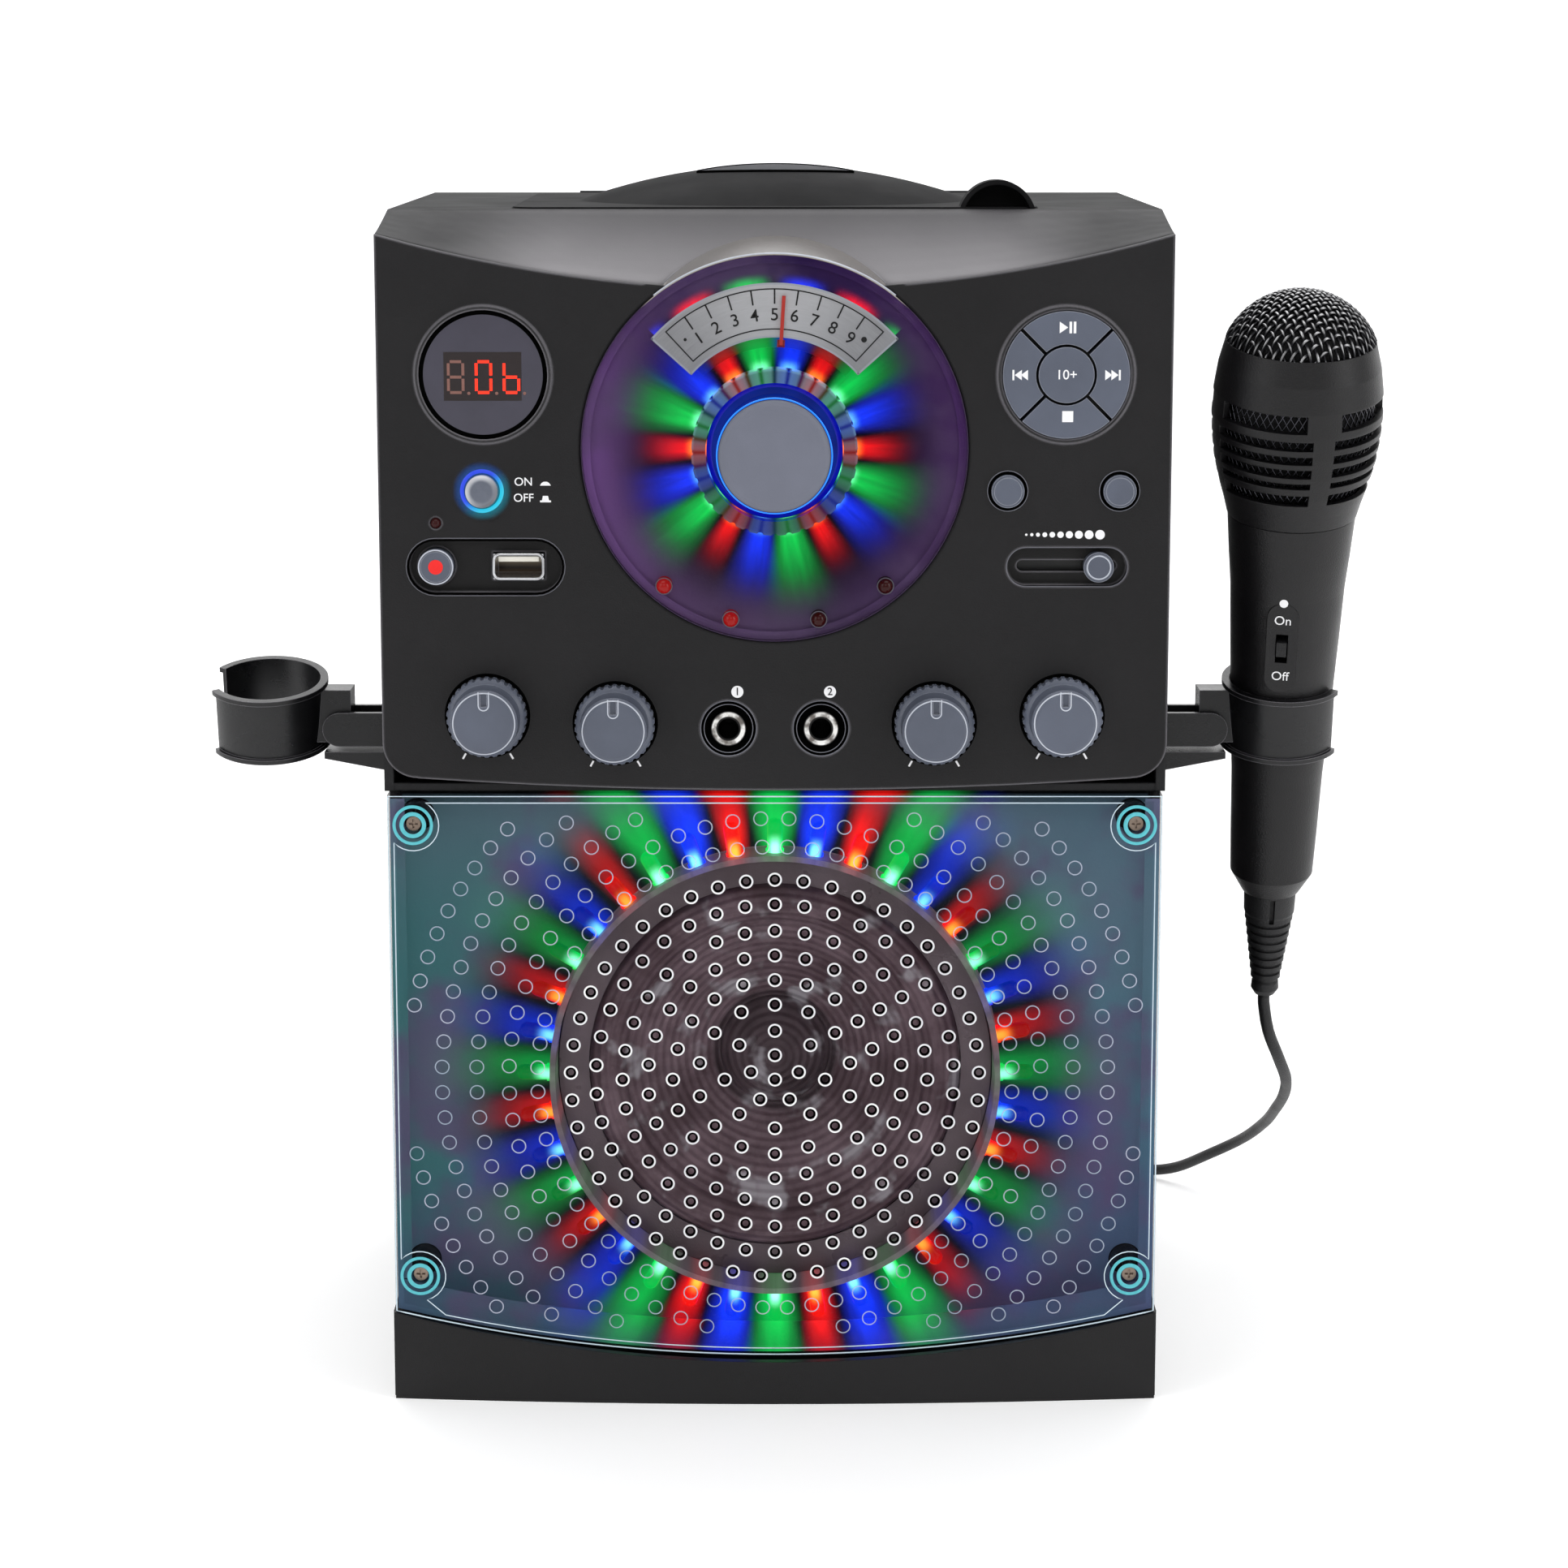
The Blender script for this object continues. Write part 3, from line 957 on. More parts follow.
def jack_metal():
    """Nickel-plated brass with a black bore and a dark plastic skin round it."""
    made, tree, shader, place = material("nickel-plated brass of the jacks")
    x, _, z = add(tree, "SeparateXYZ", place).node.outputs
    dx = add(tree, "Math.SUBTRACT", add(tree, "Math.ABSOLUTE", x), JACK_X)
    dz = add(tree, "Math.SUBTRACT", z, JACK_Z)
    radius = add(tree, "Math.SQRT", add(tree, "Math.ADD", add(tree, "Math.MULTIPLY", dx, dx),
                                        add(tree, "Math.MULTIPLY", dz, dz)))
    bore = add(tree, "MapRange.SMOOTHSTEP", radius, 0.0040, 0.0037)
    skin = add(tree, "MapRange.SMOOTHSTEP", radius, 0.0050, 0.0054)
    cloud = add(tree, "MapRange.SMOOTHSTEP", add(tree, "TexNoise", place, 300, 3.0), 0.35, 0.65)
    bright = add(tree, "Mix.RGBA", cloud, colour("#6f6a66"), colour("#f0efec"))
    tone = add(tree, "Mix.RGBA", skin, add(tree, "Mix.RGBA", bore, bright, colour("#050404")),
               colour("#141315"))
    tree.links.new(tone, shader.inputs["Base Color"])
    dull = add(tree, "Math.MAXIMUM", bore, skin)
    tree.links.new(add(tree, "Math.MULTIPLY_ADD", dull, -0.9, 0.95), shader.inputs["Metallic"])
    shader.inputs["Specular IOR Level"].default_value = 0.2
    surface(tree, shader, place, 0.3125, 0.04, 0.0008, 0.2, 0.06)
    return made


nut_metal = jack_metal()
print("jacks:", len(nut_metal.node_tree.nodes), "nodes")

# %% Lamps, display and thin edges
status_lamp = split_lamp()
cone_paper = paper()
# Tinted acrylic under a hard glossy coat.
window_grey = plastic("tinted acrylic of the display", "#35333f", "#3e3c4a", 0.16, 0.03, depth=0.03,
                      edge=0.4 * MM, coat=0.4)
# Black epoxy with lit and unlit bars of diffusing plastic.
window_dark = glowing("black epoxy of the display", "#0c0304", "#1a0508", 0.4, 0.5)
digit_lit = glowing("lit bars", "#f02a10", "#ff2408", 1.0, 0.3)
digit_dim = glowing("unlit bars", "#6b4a42", "#5a3a34", 0.5, 0.3)
# Diffusing rings round the volume knob.
ring_blue = glowing("blue diffuser", "#0a1070", "#0508a8", 0.8, 0.2)
ring_cyan = glowing("pale blue diffuser", "#1f68c8", "#1f7cff", 1.1, 0.2)
# A gap between two mouldings gives back no light, and a rubbed ABS edge gives back a grey line.
gap_black = plastic("shadow in a gap", "#020202", "#050505", 0.7, 0.05, depth=0.08, edge=0.0, shine=0.0)
rim_plastic = plastic("rubbed ABS edge", "#5f6068", "#787982", 0.3, 0.04, depth=0.08, edge=0.0)
# Clear polystyrene gathers light at its cut edges and round its screw holes.
edge_light = glowing("polystyrene edge", "#b9c4cc", "#8fb0bc", 0.35, 0.15)
boss_cyan = glowing("polystyrene boss", "#4aa3ac", "#3c9ca6", 0.3, 0.15)
print(len(bpy.data.materials), "materials in all, with the solids' own")

# %% [markdown]
# ## Dressing the solids
#
# Each solid came with a plain material from its file. Its material slot is emptied and given the finish made
# above. The mesh and its place are left alone, so the picture and the solids stay one object.

# %% Give each solid its finish
FINISHES = {
    fascia_plastic: "front_fascia",
    brow_plastic: "top_brow",
    case_plastic: "cabinet_body rear_cover",
    plinth_plastic: "base_plinth",
    inner_plastic: "base_plate pickup_sled rear_sockets mic_mesh",
    steel: "hinge_pin spindle_motor sled_rods",
    deck_plastic: "disc_deck",
    lid_plastic: "disc_lid",
    bay_clear: "speaker_cover",
    screw_steel: "cover_screws",
    bay_reflector: "reflector_panel",
    board_green: "lamp_ring_board main_board",
    board_lit: "control_board",
    bay_lamp: "cover_lamps",
    basket_steel: "speaker_basket",
    cone_paper: "speaker_cone",
    dial_clear: "dial_cover",
    dial_film: "dial_reflector",
    dial_lamp: "dial_lamps",
    gauge_silver: "gauge_plate",
    needle_red: "gauge_needle",
    cap_plastic: "volume_knob",
    skirt_clear: "knob_skirt",
    window_grey: "display_window",
    nickel: "mic_plug",
    usb_metal: "usb_socket",
    nut_metal: "mic_jacks",
    power_metal: "power_button",
    status_lamp: "status_lamps",
    lid_clear: "lid_window",
    knob_plastic: "record_button source_button repeat_button play_button stop_button back_button "
                  "forward_button skip_button light_slider voice_knob balance_knob echo_knob mic_volume_knob",
    hub_plastic: "turntable",
    holder_plastic: "holder_brackets left_holder right_holder",
    mic_paint: "mic_handle mic_head",
    rubber: "mic_boot mic_switch mic_cord mic_cord_coil",
}
dressed = [(name, made) for made, names in FINISHES.items() for name in names.split()]
for name, made in dressed:
    nodes[name].data.materials.clear()
    nodes[name].data.materials.append(made)
cord.data.materials.append(rubber)
print(len(dressed), "solids dressed in", len(FINISHES), "finishes")

# %% [markdown]
# ## Prints and rims on the front
#
# A print is a thin raised mesh on the surface that carries it. A decal with a picture would need an image
# file, while an outline stays sharp. `plate` gives a flat outline, drawn in X and Z, a thickness. `hoops`
# makes round raised rims, which stand for moulded edges and for the dark gaps round a part. Their faces are
# turned outwards at the end, because some outlines run clockwise and some the other way.

# %% Flat outlines with a thickness
THIN, LIFT = 0.05 * MM, 0.06 * MM


def outwards(mesh):
    """Turns the faces of a mesh outwards."""
    work = bmesh.new()
    work.from_mesh(mesh)
    bmesh.ops.recalc_face_normals(work, faces=work.faces)
    work.to_mesh(mesh)
    work.free()
    return mesh


def plate(name, outlines, y, depth, made, body=CABINET):
    """Thin slabs with the given outlines, whose face is at y and whose back is depth behind it."""
    points, faces = [], []
    for outline in outlines:
        n, at = len(outline), len(points)
        points += [Vector((p[0], y, p[1])) for p in outline]
        points += [Vector((p[0], y + depth, p[1])) for p in outline]
        faces.append(tuple(range(at, at + n)))
        faces.append(tuple(range(at + 2 * n - 1, at + n - 1, -1)))
        faces += [(at + i, at + n + i, at + n + (i + 1) % n, at + (i + 1) % n) for i in range(n)]
    return keep(name, outwards(build(name, points, faces)), body, made)


def disc(x, z, r, n=24):
    """The outline of a round spot."""
    return [(x + r * math.cos(2 * math.pi * k / n), z + r * math.sin(2 * math.pi * k / n))
            for k in range(n)]


def arc_band(centre, r1, r2, a1, a2, n):
    """A band between two radii and two angles, in degrees clockwise from the top."""
    def at(r, k):
        a = math.radians(a1 + (a2 - a1) * k / n)
        return (centre[0] + r * math.sin(a), centre[2] + r * math.cos(a))
    return [at(r1, k) for k in range(n + 1)] + [at(r2, k) for k in range(n, -1, -1)]


def bar(x0, z0, x1, z1, width):
    """The outline of a straight stroke."""
    d = Vector((x1 - x0, z1 - z0)).normalized() * width / 2
    return [(x0 - d.y, z0 + d.x), (x0 + d.y, z0 - d.x), (x1 + d.y, z1 - d.x), (x1 - d.y, z1 + d.x)]


print("a print is", round(THIN / MM, 3), "mm thick")

# %% Round rims


def hoops(name, hoop_list, made, body=CABINET, sides=28):
    """Raised round rims: each is x, z, y of the surface, inner radius, outer radius and height."""
    points, faces = [], []
    for x, z, y, r1, r2, high in hoop_list:
        at = len(points)
        section = [(r1, 0.0), (r1 * 0.8 + r2 * 0.2, high), (r1 * 0.2 + r2 * 0.8, high), (r2, 0.0)]
        for k in range(sides):
            a = 2 * math.pi * k / sides
            points += [(x + r * math.cos(a), y - h, z + r * math.sin(a)) for r, h in section]
        for k in range(sides):
            m = (k + 1) % sides
            faces += [(at + k * 4 + i, at + k * 4 + i + 1, at + m * 4 + i + 1, at + m * 4 + i)
                      for i in range(3)]
    return keep(name, outwards(build(name, points, faces)), body, made, smooth=True)


print("rims are", len(disc(0, 0, 1, 28)), "sided unless told otherwise")

# %% Characters


def writing(name, text, x, z, size, y, made, body=CABINET, turn=0.0):
    """Plain generic characters, centred on a point, whose face is turned to the user."""
    curve = bpy.data.curves.new(name, "FONT")
    curve.body = text
    curve.size = size
    curve.align_x, curve.align_y = "CENTER", "CENTER"
    curve.extrude = 0.04 * MM
    curve.offset = size * 0.006
    letters = bpy.data.objects.new(name, curve)
    letters.location = (x, y, z)
    letters.rotation_euler = (math.pi / 2, turn, 0)
    bpy.context.collection.objects.link(letters)
    bpy.context.view_layer.update()
    mesh = bpy.data.meshes.new_from_object(letters)
    mesh.transform(letters.matrix_world)
    bpy.data.objects.remove(letters)
    mesh.materials.clear()
    return keep(name, mesh, body, made)


print("characters are", 0.04 * 2, "mm thick")

# %% [markdown]
# ### The gauge
#
# The volume gauge is screen-printed in black on its silver plate: two lines along the arc, a tick and a
# number for each of the steps 1 to 9, and a dot to mark each end, small for quiet and larger for loud. The
# numbers lean with the arc, as on an instrument. Each could be drawn by hand. Here the angle of a number
# follows from its place in the row.

# %% Lines, ticks and numbers of the gauge
GAUGE_Y = FRONT + 2.5 * MM - LIFT
STEP_ANGLE, HALF_ARC = 8.6, 43
lines = [arc_band(DIAL, r, r + 0.4 * MM, -HALF_ARC, HALF_ARC, 48) for r in (0.0490, 0.0367)]


def spoke(angle, r1, r2, width):
    """A stroke along the radius, at an angle clockwise from the top."""
    a = math.radians(angle)
    return bar(r1 * math.sin(a), DIAL.z + r1 * math.cos(a), r2 * math.sin(a), DIAL.z + r2 * math.cos(a),
               width)


lines += [spoke(a, 0.0367, 0.0494, 0.0004) for a in (-HALF_ARC, HALF_ARC)]
lines += [spoke((k - 4) * STEP_ANGLE, 0.0446, 0.0492, 0.0005) for k in range(9)]
lines += [disc(0.0435 * math.sin(math.radians(a)), DIAL.z + 0.0435 * math.cos(math.radians(a)), r, 16)
          for a, r in ((-39.4, 0.0005), (39.4, 0.0009))]
plate("gauge_lines", lines, GAUGE_Y, THIN, dark_print)
for k in range(9):
    a = math.radians((k - 4) * STEP_ANGLE)
    writing(f"gauge_number_{k + 1}", str(k + 1), 0.0412 * math.sin(a), DIAL.z + 0.0412 * math.cos(a),
            0.0054, GAUGE_Y, dark_print, turn=a)
edge = [arc_band(DIAL, r, r + 0.6 * MM, -48.5, 48.5, 56) for r in (0.0505, 0.0343)]
edge += [spoke(a, 0.0345, 0.0509, 0.0006) for a in (-48.2, 48.2)]
plate("gauge_edge", edge, GAUGE_Y, 0.3 * MM, line_print)
print("gauge with", len(lines), "strokes and dots, over", 2 * HALF_ARC, "degrees")

# %% [markdown]
# ### The display
#
# The display is a dark screen under a round tinted window, with digits of seven bars and a dot behind each.
# Bars that are off still show faintly. A picture of the digits would blur up close, so each bar is an outline
# of its own, and the lit ones and the others are two pieces with a material each.

# %% Digits of seven bars
DISPLAY = Vector((-0.090, FRONT, 0.330))
WINDOW_Y = FRONT - 0.3 * MM


def digit(x, z, lit, width=0.0056, height=0.0106, thick=0.0011):
    """Outlines of the seven bars of a digit, lit and unlit. They are named a to g from the top clockwise."""
    w, h, t = width / 2 - thick / 2, height / 2 - thick / 2, thick
    bars = {"a": (-w, h, w, h), "b": (w, h, w, 0), "c": (w, 0, w, -h), "d": (-w, -h, w, -h),
            "e": (-w, 0, -w, -h), "f": (-w, h, -w, 0), "g": (-w, 0, w, 0)}
    on, off = [], []
    for key, (x0, z0, x1, z1) in bars.items():
        d = Vector((x1 - x0, z1 - z0)).normalized() * t * 0.45
        ends = bar(x + x0 + d.x, z + z0 + d.y, x + x1 - d.x, z + z1 - d.y, t * 0.8)
        (on if key in lit else off).append(ends)
    return on, off


SCREEN = [(-0.1021, 0.3220), (-0.0781, 0.3220), (-0.0781, 0.3370), (-0.1021, 0.3370)]
plate("display_screen", [SCREEN], WINDOW_Y - LIFT, THIN, window_dark)
lit_bars, dim_bars = [], []
for x, keys in ((-0.0984, ""), (-0.0898, "abcdef"), (-0.0812, "cdefg")):
    on, off = digit(x, 0.3293, keys)
    lit_bars += on
    dim_bars += [disc(x + 0.0040, 0.3243, 0.0005, 10)] + ([] if keys else off)
plate("display_lit", lit_bars, WINDOW_Y - 2 * LIFT, THIN, digit_lit)
plate("display_dim", dim_bars, WINDOW_Y - 0.11 * MM, THIN, digit_dim)
print(len(lit_bars), "bars lit, and", len(dim_bars), "bars and dots unlit")

# %% [markdown]
# ### Rims round the display, the knob and the buttons
#
# Round parts sit in round holes, so each shows a dark gap and, outside it, a thin edge that catches light.
# The volume knob stands on a blue ring, with a pale blue line at its front. The gaps could be real gaps in
# the solids, but at 0.3 mm they are finer than the solids go.

# %% Round rims of the upper controls
hoops("display_hoop", [(DISPLAY.x, DISPLAY.z, WINDOW_Y, 0.0185, 0.0203, 0.0003)], gap_black, sides=72)
hoops("display_line", [(DISPLAY.x, DISPLAY.z, FRONT, 0.0205, 0.0209, 0.0004)], rim_plastic, sides=72)

KNOB_Y = FRONT - 3.4 * MM
hoops("knob_ring", [(0, DIAL.z, KNOB_Y, 0.01745, 0.0210, 0.00025)], ring_blue, "volume", sides=72)
hoops("knob_light", [(0, DIAL.z, FRONT - 22 * MM, 0.0173, 0.0178, 0.0002)], ring_cyan, "volume", sides=72)
ROUND_KEYS = (0.0723, 0.107)
for name, inner, outer, made in (("round_rims", 0.0061, 0.0064, rim_plastic),
                                 ("round_gaps", 0.0053, 0.0061, gap_black)):
    hoops(name, [(x, POWER.z, FRONT, inner, outer, 0.0003) for x in ROUND_KEYS], made, sides=40)
RECORD, SLIDER = (-0.1055, 0.2703), (0.1008, 0.2703)
hoops("record_rim", [(*RECORD, FRONT - 0.7 * MM, 0.0051, 0.0055, 0.0001)], line_print, "record_key",
      sides=40)
hoops("slider_rim", [(*SLIDER, FRONT - 1.7 * MM, 0.0034, 0.0038, 0.0001)], line_print, "light_control",
      sides=40)
print("rims round the display, the knob,", len(ROUND_KEYS), "round keys, the record key and the slider")

# %% [markdown]
# ### Marks beside the controls
#
# Plain transport symbols tell what the keys do, and growing dots show which way the light slider goes. They
# are printed in white, and the record mark in red. A mark that sits on a key is given the key's body, so it
# moves when the key is pressed. An arrow and a block are enough to draw all four symbols of the cluster.

# %% Marks of the slider and the power button
PRINT_Y = FRONT - LIFT
dots = [disc(0.0782 + 0.0016 * k + 0.000105 * k * k, 0.2804, 0.00038 + 0.000125 * k, 18)
        for k in range(10)]
plate("slider_dots", dots, PRINT_Y, THIN, white_print)
writing("power_on", "ON", -0.0779, 0.2968, 0.0036, PRINT_Y, white_print)
writing("power_off", "OFF", -0.0779, 0.2918, 0.0036, PRINT_Y, white_print)
dome_mark = [(-0.0728, 0.2957), (-0.0694, 0.2957), (-0.0699, 0.2965), (-0.0706, 0.2969),
             (-0.0716, 0.2969), (-0.0723, 0.2965)]
foot_mark = [(-0.0728, 0.2905), (-0.0694, 0.2905), (-0.0694, 0.2911), (-0.0700, 0.2911),
             (-0.0703, 0.2925), (-0.0719, 0.2925), (-0.0722, 0.2911), (-0.0728, 0.2911)]
plate("power_marks", [dome_mark, foot_mark], PRINT_Y, THIN, white_print)
print(len(dots), "dots beside the slider, from", round(2 * 0.38, 2), "mm across")

# %% Symbols on the cluster
CLUSTER = Vector((0.090, FRONT, 0.330))
RING_Y = FRONT - 1.4 * MM - LIFT


def arrow(x, z, w, h):
    """The outline of an arrowhead that points to the right."""
    return [(x - w / 2, z - h / 2), (x + w / 2, z), (x - w / 2, z + h / 2)]


def block(x, z, w, h):
    """The outline of an upright block."""
    return [(x - w / 2, z - h / 2), (x + w / 2, z - h / 2), (x + w / 2, z + h / 2), (x - w / 2, z + h / 2)]


up, right = CLUSTER.z + 0.0146, CLUSTER.x + 0.0142
play = [arrow(CLUSTER.x - 0.0010, up, 0.0026, 0.0036), block(CLUSTER.x + 0.0011, up, 0.0008, 0.0036),
        block(CLUSTER.x + 0.0024, up, 0.0008, 0.0036)]
plate("play_mark", play, RING_Y, THIN, white_print, "play_key")
stop = [block(CLUSTER.x + 0.0005, CLUSTER.z - 0.0128, 0.0034, 0.0034)]
plate("stop_mark", stop, RING_Y, THIN, white_print, "stop_key")
forward = [arrow(right - 0.0012, CLUSTER.z, 0.0022, 0.0032), arrow(right + 0.0007, CLUSTER.z, 0.0022, 0.0032),
           block(right + 0.0022, CLUSTER.z, 0.0006, 0.0032)]
plate("forward_mark", forward, RING_Y, THIN, white_print, "forward_key")
back = [[(2 * CLUSTER.x - x, z) for x, z in shape] for shape in forward]
plate("back_mark", back, RING_Y, THIN, white_print, "back_key")
writing("skip_mark", "10+", CLUSTER.x, CLUSTER.z, 0.0042, FRONT - 1.8 * MM - LIFT, white_print, "skip_key")
plate("record_mark", [disc(*RECORD, 0.0023, 28)], FRONT - 0.7 * MM - LIFT, THIN, red_print, "record_key")
print("symbols on 6 keys")

# %% [markdown]
# ### Jacks and small knobs
#
# A jack sits in a shallow well, with its number in a white spot above. The four small knobs stand in dark
# round seats, with a tick on the panel where each of them stops. On a knob's face a silver rim and a pointer
# of two lines joined by an arc show how far it is turned, so rim and pointer ride on the knob.

# %% Marks of the jacks and the small knobs
JACKS = (-JACK_X, JACK_X)
SMALL_KNOBS = {"voice": (-0.090, 0.2234), "balance": (-0.050, 0.221), "echo": (0.050, 0.221),
               "mic_volume": (0.090, 0.2234)}
for where, number, x in (("left", "1", JACKS[0] + 0.0028), ("right", "2", JACKS[1] + 0.0028)):
    plate(f"jack_mark_{where}", [disc(x, 0.2310, 0.0019, 24)], PRINT_Y, THIN, white_print)
    writing(f"jack_number_{where}", number, x, 0.2310, 0.0034, PRINT_Y - LIFT, dark_print)
ticks = []
for x, z in SMALL_KNOBS.values():
    for a in (-150, 150):
        s, c = math.sin(math.radians(a)), math.cos(math.radians(a))
        ticks.append(bar(x + 0.0138 * s, z + 0.0138 * c, x + 0.0158 * s, z + 0.0158 * c, 0.0006))
plate("knob_ticks", ticks, PRINT_Y, THIN, white_print)
recesses = [(x, JACK_Z, FRONT, r, r + 0.0003, 0.00015) for x in JACKS for r in (0.0075, 0.0086)]
hoops("recess_lines", recesses, rim_plastic, sides=48)
seats = [(x, z, FRONT, 0.0124, 0.0134, 0.0003) for x, z in SMALL_KNOBS.values()]
hoops("knob_seats", seats, gap_black, sides=60)
hoops("jack_wells", [(x, JACK_Z, FRONT, 0.0056, 0.0085, LIFT) for x in JACKS], gap_black, sides=48)
bezels = []
for a in map(math.radians, (-39, -14.5, 14.5, 39)):
    x, z = 0.0548 * math.sin(a), DIAL.z - 0.0548 * math.cos(a)
    bezels.append((x, z, FRONT - 0.8 * MM, 0.0024, 0.00265, 0.0002))
hoops("status_bezels", bezels, rim_plastic, sides=24)
print(len(ticks), "ticks,", len(seats), "seats and", len(bezels), "bezels")

# %% Rim and pointer of each small knob
CAP_Y = FRONT - 16.4 * MM
for name, (x, z) in SMALL_KNOBS.items():
    pointer = [bar(x + side * 0.0016, z + 0.0058, x + side * 0.0016, z + 0.0100, 0.00035)
               for side in (-1, 1)]
    arc = [(0.00178, math.radians(a)) for a in range(180, 361, 20)]
    arc += [(0.00142, math.radians(a)) for a in range(360, 179, -20)]
    pointer.append([(x + r * math.cos(a), z + 0.0058 + r * math.sin(a)) for r, a in arc])
    plate(f"{name}_pointer", pointer, CAP_Y - LIFT, THIN, line_print, f"{name}_control")
    hoops(f"{name}_rim", [(x, z, CAP_Y + 0.00065, 0.0093, 0.0098, 0.00035)], line_print, f"{name}_control",
          sides=60)
print("pointers and rims for", ", ".join(SMALL_KNOBS))

# %% [markdown]
# ### Light round the power button
#
# A light guide of clear acrylic surrounds the power button. It is blue at its upper left and turns to cyan
# at its lower right, and its light spills onto the panel as a halo. A lamp object would light the panel too,
# but needs many samples for so small a spot. A thin disc whose alpha fades with the radius gives it at once.

# %% The light guide and its halo


def power_light(name, high, low, strength, see_through):
    """Blue at the upper left and cyan at the lower right. The halo fades out with its radius."""
    made, tree, shader, place = material(name)
    x, _, z = add(tree, "SeparateXYZ", place).node.outputs
    dx = add(tree, "Math.SUBTRACT", x, POWER.x)
    dz = add(tree, "Math.SUBTRACT", z, POWER.z)
    if see_through:
        radius = add(tree, "Math.SQRT", add(tree, "Math.ADD", add(tree, "Math.MULTIPLY", dx, dx),
                                            add(tree, "Math.MULTIPLY", dz, dz)))
        blurred = add(tree, "Math.MULTIPLY_ADD", add(tree, "TexNoise", place, 150), 0.0006, radius)
        fade = add(tree, "MapRange.SMOOTHSTEP", blurred, 0.0098, 0.0064)
        tree.links.new(add(tree, "Math.MULTIPLY", fade, 0.75), shader.inputs["Alpha"])
    side = add(tree, "MapRange.SMOOTHSTEP", add(tree, "Math.SUBTRACT", dx, dz), -0.003, 0.007)
    tree.links.new(add(tree, "Mix.RGBA", side, colour(high), colour(low)), shader.inputs["Emission Color"])
    shader.inputs["Emission Strength"].default_value = strength
    dark = add(tree, "Mix.RGBA", add(tree, "TexNoise", place, 900), colour("#05060a"), colour("#0a0c12"))
    tree.links.new(dark, shader.inputs["Base Color"])
    surface(tree, shader, place, 0.385, 0.05, 0.0, 0.3, 0.03)
    return made


halo = power_light("light spilt on the panel", "#0a4a98", "#0a7c90", 0.7, True)
ring_lit = power_light("clear acrylic light guide", "#1f46e8", "#22c8e8", 1.0, False)
plate("power_halo", [disc(POWER.x, POWER.z, 0.0100, 48)], FRONT - 0.05 * MM, 0.04 * MM, halo)
hoops("power_light", [(POWER.x, POWER.z, FRONT - LIFT, 0.0056, 0.0068, 0.00035)], ring_lit, sides=48)
print("halo", 2 * 10, "mm across")

# %% [markdown]
# ### Edges of the slots
#
# Two slots with round ends hold the keys and the light slider, and the data socket has a rounded steel lip.
# Their edges are tubes along closed outlines, 0.1 to 0.5 mm thick. A bevel on the solids would change them.

# %% Outlines of the slots and the socket


def pill(x, z, long, high, inset=0.0):
    """The outline of a slot with round ends, just in front of the panel."""
    r = high / 2 - inset
    reach = long / 2 - inset - r
    turns, y = [math.radians(-90 + 180 * k / 14) for k in range(15)], FRONT - 0.05 * MM
    right = [Vector((x + reach + r * math.cos(a), y, z + r * math.sin(a))) for a in turns]
    left = [Vector((x - reach - r * math.cos(a), y, z - r * math.sin(a))) for a in turns]
    return right + left


def outlines(name, paths, thick, made):
    """Closed tubes along some paths, as one piece."""
    points, faces = [], []
    for path in paths:
        made_points, made_faces = tube_data(path, thick, 6, (0, 1, 0.1), closed=True, start=len(points))
        points += made_points
        faces += made_faces
    return keep(name, build(name, points, faces), CABINET, made, smooth=True)


KEY_SLOT, LIGHT_SLOT = (-0.08995, 0.2703, 0.0483, 0.0168), (0.09095, 0.2703, 0.0377, 0.0122)
outlines("slot_edges", [pill(*KEY_SLOT)], 0.00034, gap_black)
outlines("slot_lines", [pill(*KEY_SLOT, -0.0006), pill(*LIGHT_SLOT)], 0.00013, rim_plastic)
lip = []
for sx, sz, first in ((1, -1, -90), (1, 1, 0), (-1, 1, 90), (-1, -1, 180)):
    for a in [math.radians(first + 90 * k / 5) for k in range(6)]:
        lip.append(Vector((SOCKET.x + sx * 5.7 * MM + 2.0 * MM * math.cos(a), FRONT + 0.0009,
                           SOCKET.z + sz * 1.9 * MM + 2.0 * MM * math.sin(a))))
outlines("socket_edge", [lip], 0.00055, nickel)
print("slots", KEY_SLOT[2], "m and", LIGHT_SLOT[2], "m long")

# %% [markdown]
# ## Rims on the speaker cover
#
# The speaker cover is one clear moulding. Each sound hole has a bright raised rim, and rims of the same size
# without a hole fill the cover out to its edges. An array could repeat one rim, but the rows stand in circles
# and stop at the edges and round the screws, so each place is worked out and the rims are made in one mesh.
# The back of each hole gets a dark wall, because the real hole shows no light from inside.

# %% Places of the rims


def low_edge(x):
    """Height of the cover's arched lower edge."""
    return 0.0145 + 0.5118 - math.sqrt(0.5118 ** 2 - x * x)


